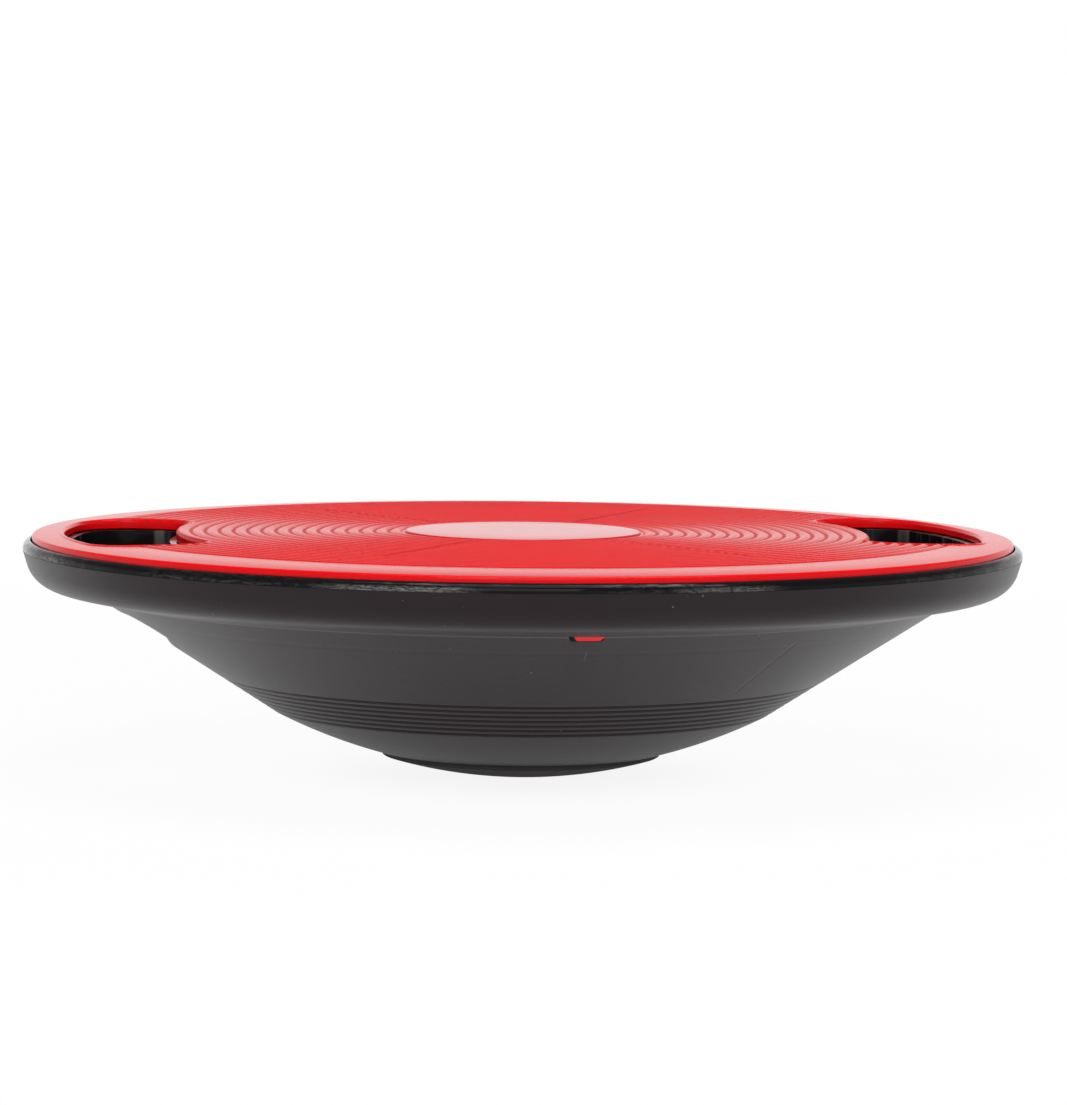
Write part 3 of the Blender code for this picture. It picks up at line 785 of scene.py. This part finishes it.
def deck_profile(settings):
    """Badge recess, ridged field, smooth border, rounded edge, skirt, underside and hub."""
    recess = BADGE_RADIUS + GAP
    round_centre = (recess + RECESS_ROUND, TROUGH_LEVEL - RECESS_ROUND)
    points = [(recess * i / 3, RECESS_LEVEL) for i in range(4)]
    points += arc(round_centre, RECESS_ROUND, math.pi, math.pi / 2, 3)
    width = ridge_count(settings) * settings.ridge_pitch
    steps = ridge_count(settings) * settings.ridge_steps
    for i in range(steps + 1):
        weight = 1.0 if 0 < i < steps else 0.0
        points.append((RIDGE_START + width * i / steps, TROUGH_LEVEL, weight))
    steps = 6
    for i in range(1, steps + 1):
        rise = (1 - math.cos(math.pi * i / steps)) / 2
        level = TROUGH_LEVEL + (FIELD_LEVEL - TROUGH_LEVEL) * rise
        points.append((RIDGE_START + width + settings.border_rise * i / steps, level))
    points += fillet(points[-1], (DECK_RADIUS, EDGE_LEVEL), (DECK_RADIUS, SKIRT_FOOT), EDGE_ROUND)
    return points + [
        (DECK_RADIUS, SKIRT_FOOT),
        (DECK_RADIUS - SKIRT_WALL, SKIRT_FOOT),
        (DECK_RADIUS - SKIRT_WALL, DECK_UNDERSIDE),
        (HUB_RADIUS + RIB_WALL, DECK_UNDERSIDE),
        (HUB_RADIUS + RIB_WALL, SKIRT_FOOT),
        (HUB_RADIUS, SKIRT_FOOT),
        (HUB_RADIUS, DECK_UNDERSIDE),
        (0, DECK_UNDERSIDE),
    ]


def flange_ring():
    """The smooth lip and the flange wall round the hand hole on +X, as a ring closed on itself."""
    outside = hand_hole_outline(FLANGE_WALL)
    rings = [outline_at(outside, level) for level in (FLANGE_FOOT, FLANGE_SHOULDER)]
    edge = arc((LIP_ROUND, -LIP_ROUND), LIP_ROUND, math.pi / 2, math.pi, 7)
    for grow, rise in [*LIP_SECTION, *edge]:
        rings.append(outline_at(hand_hole_outline(grow), lip_level, rise))
    rings.append(outline_at(hand_hole_outline(0.0), FLANGE_FOOT + FLANGE_CHAMFER))
    rings.append(outline_at(hand_hole_outline(FLANGE_CHAMFER), FLANGE_FOOT))
    return lofted("flange", rings, closed=True)


def narrowed(made, first, last, width, offset=0.0):
    """Cuts a hook or its slot on +X to a plan that narrows inwards, its inner corners rounded."""
    first += TINY
    outer = width / 2 + HOOK_TAPER
    inner = width / 2 - HOOK_TAPER
    last = 2 * last - first  # so that the plan's outer side lies clear of the piece
    plan = [(last, offset - outer), (last, offset + outer)]
    left = (first, offset + inner)
    right = (first, offset - inner)
    plan += fillet(plan[1], left, right, HOOK_CORNER, 5)
    plan += fillet(left, right, plan[0], HOOK_CORNER, 5)
    return combine(made, "INTERSECT", upright_block("plan", plan, 0.0, BOARD_HEIGHT))


def hook():
    """A snap hook on +X: a flat arm down to the slot and a barb that points outwards."""
    latch = FOLD_LEVEL + SLOT_REBATE - GAP
    arm_outer = HOOK_RADIUS + HOOK_WALL
    toe = arm_outer + HOOK_BARB
    outline = [
        (HOOK_RADIUS, DECK_BEDDING),
        (HOOK_RADIUS, bowl_level(HOOK_RADIUS)),
        (arm_outer, bowl_level(arm_outer)),
        (toe, bowl_level(toe)),
        (toe, latch),
        (arm_outer, latch),
        (arm_outer, DECK_BEDDING),
    ]
    made = extruded("hook", outline, HOOK_WIDTH, HOOK_OFFSET)
    return narrowed(made, HOOK_RADIUS, toe, HOOK_WIDTH, HOOK_OFFSET)


def rib(name, first, last, foot, top):
    """A flat radial rib on +X between two radii. Its foot is a level or a function of radius."""
    steps = 12
    radii = [first + (last - first) * i / steps for i in range(steps + 1)]
    under = [(radius, foot(radius) if callable(foot) else foot) for radius in radii]
    return extruded(name, under + [(last, top), (first, top)], RIB_WALL)


def all_ribs(kind, inner, outer, rim, foot, top, finish):
    """Ribs from the hub to the rim, and short ones before and behind each hand hole."""
    hub = HUB_RADIUS + RIB_WALL / 2
    return (
        set_round(rib(f"{kind}_ribs", hub, rim, foot, top), RIB_COUNT, finish, 0.0, 3),
        set_round(rib(f"inner_{kind}_ribs", hub, inner, foot, top), 2, finish),
        set_round(rib(f"outer_{kind}_ribs", outer, rim, foot, top), 2, finish),
    )


def make_deck(settings):
    finish = red_plastic(settings)
    pitch = settings.ridge_pitch
    ridges = (RIDGE_START, pitch, ridge_count(settings), pitch, settings.ridge_height)
    deck = turned("ridged_deck", deck_profile(settings), settings.segments, finish, ridges)
    clear = TUNNEL_WALL - TUNNEL_STEP + 2 * GAP
    ends = (HOLE_INNER_RADIUS - clear, HOLE_OUTER_RADIUS + clear, DECK_RADIUS - SKIRT_WALL / 2)
    ribs = all_ribs("deck", *ends, SKIRT_FOOT + HUB_STEP, DECK_BEDDING, finish)
    combine(deck, "UNION", *ribs, set_round(hook(), 2, finish, math.pi / 2))
    outline = hand_hole_outline(FLANGE_WALL / 2)
    hole = upright_block("hole", outline, FLANGE_FOOT - FAR, BOARD_HEIGHT + FAR)
    combine(deck, "DIFFERENCE", set_round(hole, 2, finish))
    combine(deck, "UNION", set_round(flange_ring(), 2, finish))
    finish_piece(deck, "deck", finish)


# ------------------------ badge


def make_badge(settings):
    finish = badge_plastic(settings)
    floor = RECESS_LEVEL + GAP
    top = FIELD_LEVEL + BADGE_PROUD
    points = [(0, top), (BADGE_RADIUS / 2, top)]  # this ring keeps the top's shading flat
    points += fillet((0, top), (BADGE_RADIUS, top), (BADGE_RADIUS, floor), settings.edge_round)
    points += [(BADGE_RADIUS, floor), (0, floor)]
    badge = turned("smooth_badge", points, settings.segments, finish)
    finish_piece(badge, "centre_badge", finish)


# ------------------------ shell


def rim_points():
    """The rim from its top inner edge over the bead and the parting line, and in to the cone."""
    bead = (BOARD_RADIUS - RIM_BEAD, SEAM_LEVEL - RIM_BEAD)
    points = arc(bead, RIM_BEAD, math.pi / 2, 0, 12)
    line = PARTING_LINE
    points += [
        (BOARD_RADIUS, PARTING_LEVEL + line),
        (BOARD_RADIUS - line, PARTING_LEVEL),
        (BOARD_RADIUS - line * math.tan(RIM_DRAFT), PARTING_LEVEL - line),
    ]
    corner = (CORNER_RADIUS, CORNER_LEVEL)
    fold = (FOLD_RADIUS, FOLD_LEVEL)
    points += fillet((BOARD_RADIUS, PARTING_LEVEL), corner, fold, RIM_ROUND, 14)
    strip = FOLD_RADIUS + FOLD_STRIP
    points.append((strip, bowl_level(strip)))
    cone = (DOME_EDGE, CONE_FOOT)
    return points + fillet(points[-1], fold, cone, FOLD_ROUND, 5)


def inside_points():
    """The shell's inside, from its lowest point past the hub and up to the deck's seat."""
    over_pad = PAD_SUNK + GAP + SHELL_WALL
    points = dome_points(0, HUB_RADIUS, over_pad, 4)
    points += [(HUB_RADIUS, SEAT_LEVEL), (HUB_RADIUS + RIB_WALL, SEAT_LEVEL)]
    points += dome_points(HUB_RADIUS + RIB_WALL, PAD_RADIUS, over_pad, 2)
    points += dome_points(PAD_RADIUS + SHELL_WALL, bowl_edge(SHELL_WALL)[0], SHELL_WALL, 6)
    fold = (FOLD_RADIUS, bowl_level(FOLD_RADIUS, SHELL_WALL))
    corner = (
        CORNER_RADIUS - SHELL_WALL / math.cos(RIM_DRAFT),
        CORNER_LEVEL + SHELL_WALL / math.cos(UNDERSIDE_SLOPE),
    )
    seat = (RIM_BORE - SEAT_WIDTH, SEAT_LEVEL)
    points += [fold] + fillet(fold, corner, seat, RIM_INSIDE_ROUND, 6)
    return points + [seat, (RIM_BORE, SEAT_LEVEL)]


def shell_profile(settings):
    """Up the inside, over the rim, and down the outside past the grooves to the pad's recess."""
    outer = GROOVE_RADIUS + settings.groove_pitch
    inner = GROOVE_RADIUS - settings.groove_count * settings.groove_pitch
    steps = (settings.groove_count + 1) * 12
    radii = [outer + (inner - outer) * i / steps for i in range(steps + 1)]
    points = inside_points() + rim_points()
    points += [(radius, bowl_level(radius), 1.0) for radius in radii]
    recess = PAD_RADIUS + GAP
    points += dome_points(inner, recess, 0, 14)[1:]
    return points + dome_points(recess, 0, PAD_SUNK + GAP, 6)


def tunnel_ring():
    """The tunnel's wall on +X from the bowl up to the deck's flange, as a ring closed on itself."""
    inside = hand_hole_outline(-TUNNEL_STEP)
    outside = hand_hole_outline(TUNNEL_WALL - TUNNEL_STEP)

    def bedding(radius):
        return bowl_level(radius, SHELL_WALL / 2)

    rings = [outline_at(inside, bedding), outline_at(outside, bedding)]
    rings.append(outline_at(outside, TUNNEL_TOP))
    centre = (TUNNEL_ROUND - TUNNEL_STEP, -TUNNEL_ROUND)
    for grow, rise in arc(centre, TUNNEL_ROUND, math.pi / 2, math.pi, 4):
        rings.append(outline_at(hand_hole_outline(grow), TUNNEL_TOP, rise))
    return lofted("tunnel", rings, closed=True)


def finger_slot():
    """What cuts the finger slot on +X: upright sides, flaring to a rounded edge under the bowl."""
    lip = FINGER_LIP
    flare = [(lip * 1.3, -lip)] + arc((lip, lip), lip, -math.pi / 2 - 0.15, -math.pi, 6)
    rings = [outline_at(finger_slot_outline(grow), bowl_level, rise) for grow, rise in flare]
    return lofted("finger_slot", rings + [outline_at(finger_slot_outline(0.0), SEAM_LEVEL)])


def hook_slot():
    """What cuts a hook's slot on +X, with a pocket outside it for the barb."""
    inner = HOOK_RADIUS - HOOK_GAP
    outer = HOOK_RADIUS + HOOK_WALL + HOOK_GAP
    pocket = outer + HOOK_BARB + HOOK_GAP / 2
    low = FOLD_LEVEL - FAR
    high = FOLD_LEVEL + 4 * SHELL_WALL
    latch = FOLD_LEVEL + SLOT_REBATE
    outline = [
        (inner, low),
        (pocket, low),
        (pocket, latch),
        (outer, latch),
        (outer, high),
        (inner, high),
    ]
    return narrowed(extruded("hook_slot", outline, SLOT_WIDTH), inner, pocket, SLOT_WIDTH)


def make_shell(settings):
    finish = black_plastic(settings)
    pitch, width = settings.groove_pitch, settings.groove_width
    start = GROOVE_RADIUS - (settings.groove_count - 0.5) * pitch
    depth = settings.groove_depth / math.cos(CONE_SLOPE)
    grooves = (start, pitch, settings.groove_count, width, depth)
    shell = turned("domed_shell", shell_profile(settings), settings.segments, finish, grooves)

    def bedding(radius):
        return bowl_level(radius, PAD_SUNK + GAP + SHELL_WALL / 2)

    reach = TUNNEL_STEP / 2
    ends = (HOLE_INNER_RADIUS + reach, HOLE_OUTER_RADIUS - reach, CORNER_RADIUS - SHELL_WALL)
    ribs = all_ribs("shell", *ends, bedding, SEAT_LEVEL - HUB_STEP, finish)
    combine(shell, "UNION", *ribs, set_round(tunnel_ring(), 2, finish))
    hook_slots = set_round(hook_slot(), 2, finish, math.pi / 2)
    combine(shell, "DIFFERENCE", set_round(finger_slot(), 2, finish), hook_slots)
    finish_piece(shell, "base_shell", finish)


# ------------------------ pad


def make_pad(settings):
    finish = pad_rubber(settings)
    edge_level = bowl_level(PAD_RADIUS) - PAD_EDGE_PROUD
    centre = (PAD_RADIUS**2 + edge_level**2 - PAD_FLAT_RADIUS**2) / (2 * edge_level)
    curve = math.hypot(PAD_FLAT_RADIUS, centre)
    start = math.asin(PAD_RADIUS / curve) - math.pi / 2
    end = math.asin(PAD_FLAT_RADIUS / curve) - math.pi / 2
    side = dome_points(0, PAD_RADIUS, PAD_SUNK, 10)
    under = arc((0, centre), curve, start, end, 16)
    under[-1] = (PAD_FLAT_RADIUS, 0)
    corner = fillet(side[-1], under[0], under[1], settings.edge_round, 4)
    points = side + corner + under[1:] + [(0, 0)]
    pad = turned("grip_pad", points, settings.segments, finish)
    finish_piece(pad, "bottom_pad", finish)


# ------------------------ studio


def soft_lamp(name, size, power, place_at, aim):
    """A square area lamp at a point, turned towards another."""
    lamp = bpy.data.lights.new(name, "AREA")
    lamp.shape = "SQUARE"
    lamp.size = size
    lamp.energy = power
    back = Vector(place_at) - Vector(aim)
    turn = back.to_track_quat("Z", "Y").to_matrix().to_4x4()
    link(name, lamp).matrix_world = Matrix.Translation(place_at) @ turn


def make_floor(settings):
    """A pale light table: it shows white, keeps a faint shadow, and glows under the board."""
    bm = bmesh.new()
    bmesh.ops.create_grid(bm, x_segments=1, y_segments=1, size=12)
    mesh = bpy.data.meshes.new("floor")
    bm.to_mesh(mesh)
    bm.free()
    floor = link("floor", mesh)
    material = bpy.data.materials.new("pale_floor")
    material.use_nodes = True
    material.node_tree.nodes.remove(material.node_tree.nodes["Principled BSDF"])
    tree = Tree(material.node_tree)
    away, _ = far_from_axis(tree, tree.add("ShaderNodeTexCoord", None, None, "Object"))
    under_board = away.ramp(0.04, 0.13) * (1 - away.ramp(0.16, settings.table_reach))
    glow = under_board * settings.table_light + settings.floor_light
    paint = tree.add("ShaderNodeBsdfDiffuse", None, {"Color": FLOOR_GREY})
    table = tree.add("ShaderNodeEmission", None, {"Color": WHITE, "Strength": glow})
    lit = tree.add("ShaderNodeAddShader", None, {0: paint, 1: table})
    plain = tree.add("ShaderNodeEmission", None, {"Color": WHITE, "Strength": 1.0})
    rays = ("Is Camera Ray", "Is Glossy Ray", "Is Transmission Ray")
    straight, mirrored, refracted = [
        tree.add("ShaderNodeLightPath", None, None, ray) for ray in rays
    ]
    seen = away.ramp(0.03, 0.10) * 0.06 + away.ramp(0.25, 1.2) * 0.07 + 0.87
    reflected = away.ramp(0.05, 0.18) * 0.4 + away.ramp(0.25, 0.8) * 0.4 + 0.2
    plainness = straight * seen + mirrored.most(refracted) * reflected
    mixed = tree.add("ShaderNodeMixShader", None, {0: plainness, 1: lit, 2: plain})
    tree.fill(material.node_tree.nodes["Material Output"], {"Surface": mixed})
    floor.data.materials.append(material)


def make_world(settings):
    """Studio surroundings: plain white low down, where they are the background, dimmer above."""
    world = bpy.data.worlds.new("studio")
    world.use_nodes = True
    tree = Tree(world.node_tree)
    direction = tree.add("ShaderNodeTexCoord", None, None, "Generated")
    _, _, height = tree.parts(direction)
    low = (settings.horizon_light,) * 3
    high = (settings.sky_light,) * 3
    around = tree.blend(height.ramp(0.08, settings.sky_start), low, high)
    tree.fill(world.node_tree.nodes["Background"], {"Color": around, "Strength": 1.0})
    bpy.context.scene.world = world


def make_camera(settings):
    azimuth, elevation = settings.azimuth, settings.elevation
    level = math.cos(elevation)
    away = (math.sin(azimuth) * level, -math.cos(azimuth) * level, math.sin(elevation))
    back = Vector(away)
    turn = back.to_track_quat("Z", "Y").to_matrix().to_4x4()
    turn = turn @ Matrix.Rotation(settings.roll, 4, "Z")
    aim = Vector((0, 0, SEAM_LEVEL))
    aim += turn.col[0].to_3d() * settings.aim_right + turn.col[1].to_3d() * settings.aim_up
    camera = bpy.data.cameras.new("camera")
    camera.lens = settings.focal_length
    made = link("camera", camera)
    made.matrix_world = Matrix.Translation(aim + back * settings.distance) @ turn
    bpy.context.scene.camera = made


def make_stage(settings):
    bpy.context.scene.view_settings.view_transform = "Standard"
    make_floor(settings)
    make_world(settings)
    make_camera(settings)
    middle = (0.0, 0.0, 0.06)
    soft_lamp("overhead_softbox", 1.4, settings.overhead_power, (0.1, -0.3, 1.8), middle)
    soft_lamp("front_softbox", 1.5, settings.front_power, (-0.5, -2.5, 1.3), middle)


# ------------------------ settings


def a_length(name, description, default):
    unit = {"unit": "LENGTH", "precision": 5}
    return FloatProperty(name=name, description=description, default=default, **unit)


def an_angle(name, description, degrees):
    default = math.radians(degrees)
    return FloatProperty(name=name, description=description, default=default, subtype="ANGLE")


def a_number(name, description, default, high=1.0):
    return FloatProperty(name=name, description=description, default=default, min=0.0, max=high)


def a_colour(name, description, default):
    kind = {"subtype": "COLOR", "size": 3, "min": 0.0, "max": 1.0}
    return FloatVectorProperty(name=name, description=description, default=default, **kind)


def a_count(name, description, default):
    return IntProperty(name=name, description=description, default=default, min=1)


class DeckSettings(bpy.types.PropertyGroup):
    ridge_pitch: a_length("Ridge pitch", "Distance from one ridge crest to the next", 0.00565)
    ridge_height: a_length("Ridge height", "Height of a ridge from trough to crest", 0.0007)
    ridge_steps: a_count("Steps in a ridge", "Mesh steps across one ridge", 10)
    border_rise: a_length("Border rise", "Width of the curve up to the border", 0.0016)
    segments: a_count("Segments", "Mesh steps round the deck", 240)
    colour: a_colour("Colour", "Red of the deck", (0.80, 0.003, 0.006))
    deep_colour: a_colour("Deep colour", "Red of the deck's darker clouds", (0.77, 0.003, 0.005))
    roughness: a_number("Roughness", "Roughness of the satin plastic", 0.17)
    trough_shade: a_number("Trough shade", "How far troughs and sink lines darken", 0.5)
    trough_roughness: a_number("Trough roughness", "How much rougher the troughs are", 0.2)
    border_roughness: a_number("Border roughness", "Roughness of the smooth border", 0.13)
    gloss_index: a_number("Gloss index", "Refractive index of the plastic", 1.21, 3.0)


class BadgeSettings(bpy.types.PropertyGroup):
    edge_round: a_length("Edge round", "Round of the badge's edge", 0.0003)
    segments: a_count("Segments", "Mesh steps round the badge", 192)
    colour: a_colour("Colour", "Red of the badge", (0.72, 0.02, 0.028))
    deep_colour: a_colour("Deep colour", "Red of its darker clouds", (0.68, 0.016, 0.022))
    roughness: a_number("Roughness", "Roughness of the glossy plastic", 0.12)
    gloss_index: a_number("Gloss index", "Refractive index of the plastic", 1.38, 3.0)


class ShellSettings(bpy.types.PropertyGroup):
    groove_count: a_count("Grooves", "Number of grooves round the bowl", 7)
    groove_pitch: a_length("Groove pitch", "Distance from one groove to the next", 0.0033)
    groove_width: a_length("Groove width", "Width of a groove at the surface", 0.0019)
    groove_depth: a_length("Groove depth", "Depth of a groove", 0.0009)
    segments: a_count("Segments", "Mesh steps round the shell", 240)
    colour: a_colour("Colour", "Black of the matte plastic", (0.0110, 0.0052, 0.0075))
    light_colour: a_colour("Light colour", "Black of its paler clouds", (0.0130, 0.0075, 0.0098))
    polished_colour: a_colour("Polished colour", "Black of band and tunnels", (0.006, 0.006, 0.007))
    # the colour of the painted highlights on the band and the tunnel walls
    glint_colour: a_colour("Worn colour", "Grey of the rubbed patches", (0.22, 0.22, 0.21))
    roughness: a_number("Roughness", "Roughness of the matte plastic", 0.27)
    polished_roughness: a_number("Polished roughness", "Roughness where it is polished", 0.08)
    gloss_index: a_number("Gloss index", "Refractive index of the matte surface", 1.31, 3.0)
    polished_index: a_number("Polished index", "Refractive index where polished", 1.16, 3.0)
    polish: a_number("Polish", "Weight of the clear gloss on the polished plastic", 0.65)


class PadSettings(bpy.types.PropertyGroup):
    edge_round: a_length("Edge round", "Round of the pad's lower edge", 0.0004)
    segments: a_count("Segments", "Mesh steps round the pad", 192)
    colour: a_colour("Colour", "Black of the rubber", (0.030, 0.024, 0.027))
    light_colour: a_colour("Light colour", "Black of its paler clouds", (0.036, 0.029, 0.032))
    roughness: a_number("Roughness", "Roughness of the rubber", 0.75)


class StageSettings(bpy.types.PropertyGroup):
    distance: a_length("Camera distance", "From the deck's middle to the camera", 1.8)
    elevation: an_angle("Camera elevation", "Angle above level", 4.65)
    azimuth: an_angle("Camera azimuth", "Angle from the front, to the board's right", -8.2)
    roll: an_angle("Camera roll", "Turn about the line of sight", 0.57)
    aim_right: a_length("Aim right", "How far right of the deck's middle to aim", 0.00426)
    aim_up: a_length("Aim up", "How far above the deck's middle to aim", -0.00499)
    focal_length: a_number("Focal length", "Focal length in millimetres", 145.8, 500.0)
    table_light: a_number("Table light", "Glow of the light table under the board", 0.15, 5.0)
    table_reach: a_length("Table reach", "Radius at which that glow has faded", 0.28)
    floor_light: a_number("Floor light", "Glow of the floor everywhere", 0.15, 5.0)
    horizon_light: a_number("Horizon light", "Light from low down all round", 1.0, 5.0)
    sky_light: a_number("Sky light", "Light from overhead", 0.2, 5.0)
    sky_start: a_number("Sky start", "Height of direction at which overhead light begins", 0.5)
    overhead_power: a_number("Overhead power", "Overhead softbox in watts", 22.0, 1000.0)
    front_power: a_number("Front power", "Front softbox in watts", 28.0, 1000.0)


# ------------------------ operators


class BALANCEBOARD_OT_deck(bpy.types.Operator):
    """Build the ridged deck with its hand-hole flanges and snap hooks"""

    bl_idname = "balance_board.deck"
    bl_label = "Build Deck"

    def execute(self, context):
        make_deck(context.scene.balance_board_deck)
        return {"FINISHED"}


class BALANCEBOARD_OT_badge(bpy.types.Operator):
    """Build the smooth badge in the middle of the deck"""

    bl_idname = "balance_board.badge"
    bl_label = "Build Badge"

    def execute(self, context):
        make_badge(context.scene.balance_board_badge)
        return {"FINISHED"}


class BALANCEBOARD_OT_shell(bpy.types.Operator):
    """Build the domed base shell with its grooves, tunnels and slots"""

    bl_idname = "balance_board.shell"
    bl_label = "Build Shell"

    def execute(self, context):
        make_shell(context.scene.balance_board_shell)
        return {"FINISHED"}


class BALANCEBOARD_OT_pad(bpy.types.Operator):
    """Build the rubber pad at the bottom of the dome"""

    bl_idname = "balance_board.pad"
    bl_label = "Build Pad"

    def execute(self, context):
        make_pad(context.scene.balance_board_pad)
        return {"FINISHED"}


class BALANCEBOARD_OT_stage(bpy.types.Operator):
    """Set up the floor, the light and the camera"""

    bl_idname = "balance_board.stage"
    bl_label = "Set Up Studio"

    def execute(self, context):
        make_stage(context.scene.balance_board_stage)
        return {"FINISHED"}


class BALANCEBOARD_PT_panel(bpy.types.Panel):
    bl_label = "Balance Board"
    bl_idname = "BALANCEBOARD_PT_panel"
    bl_space_type = "VIEW_3D"
    bl_region_type = "UI"
    bl_category = "Balance Board"

    def draw(self, context):
        for name in GROUPS:
            box = self.layout.box()
            settings = getattr(context.scene, f"balance_board_{name}")
            for key in settings.bl_rna.properties.keys():
                if key not in ("rna_type", "name"):
                    box.prop(settings, key)
            box.operator(f"balance_board.{name}")


GROUPS = {
    "deck": DeckSettings,
    "badge": BadgeSettings,
    "shell": ShellSettings,
    "pad": PadSettings,
    "stage": StageSettings,
}
OPERATORS = (
    BALANCEBOARD_OT_deck,
    BALANCEBOARD_OT_badge,
    BALANCEBOARD_OT_shell,
    BALANCEBOARD_OT_pad,
    BALANCEBOARD_OT_stage,
)


def register():
    for kind in (*GROUPS.values(), *OPERATORS, BALANCEBOARD_PT_panel):
        bpy.utils.register_class(kind)
    for name, group in GROUPS.items():
        setattr(bpy.types.Scene, f"balance_board_{name}", PointerProperty(type=group))


def unregister():
    for name in GROUPS:
        delattr(bpy.types.Scene, f"balance_board_{name}")
    for kind in (BALANCEBOARD_PT_panel, *OPERATORS, *GROUPS.values()):
        bpy.utils.unregister_class(kind)


def main():
    register()
    bpy.ops.balance_board.deck()
    bpy.ops.balance_board.badge()
    bpy.ops.balance_board.shell()
    bpy.ops.balance_board.pad()
    bpy.ops.balance_board.stage()


if __name__ == "__main__":
    main()
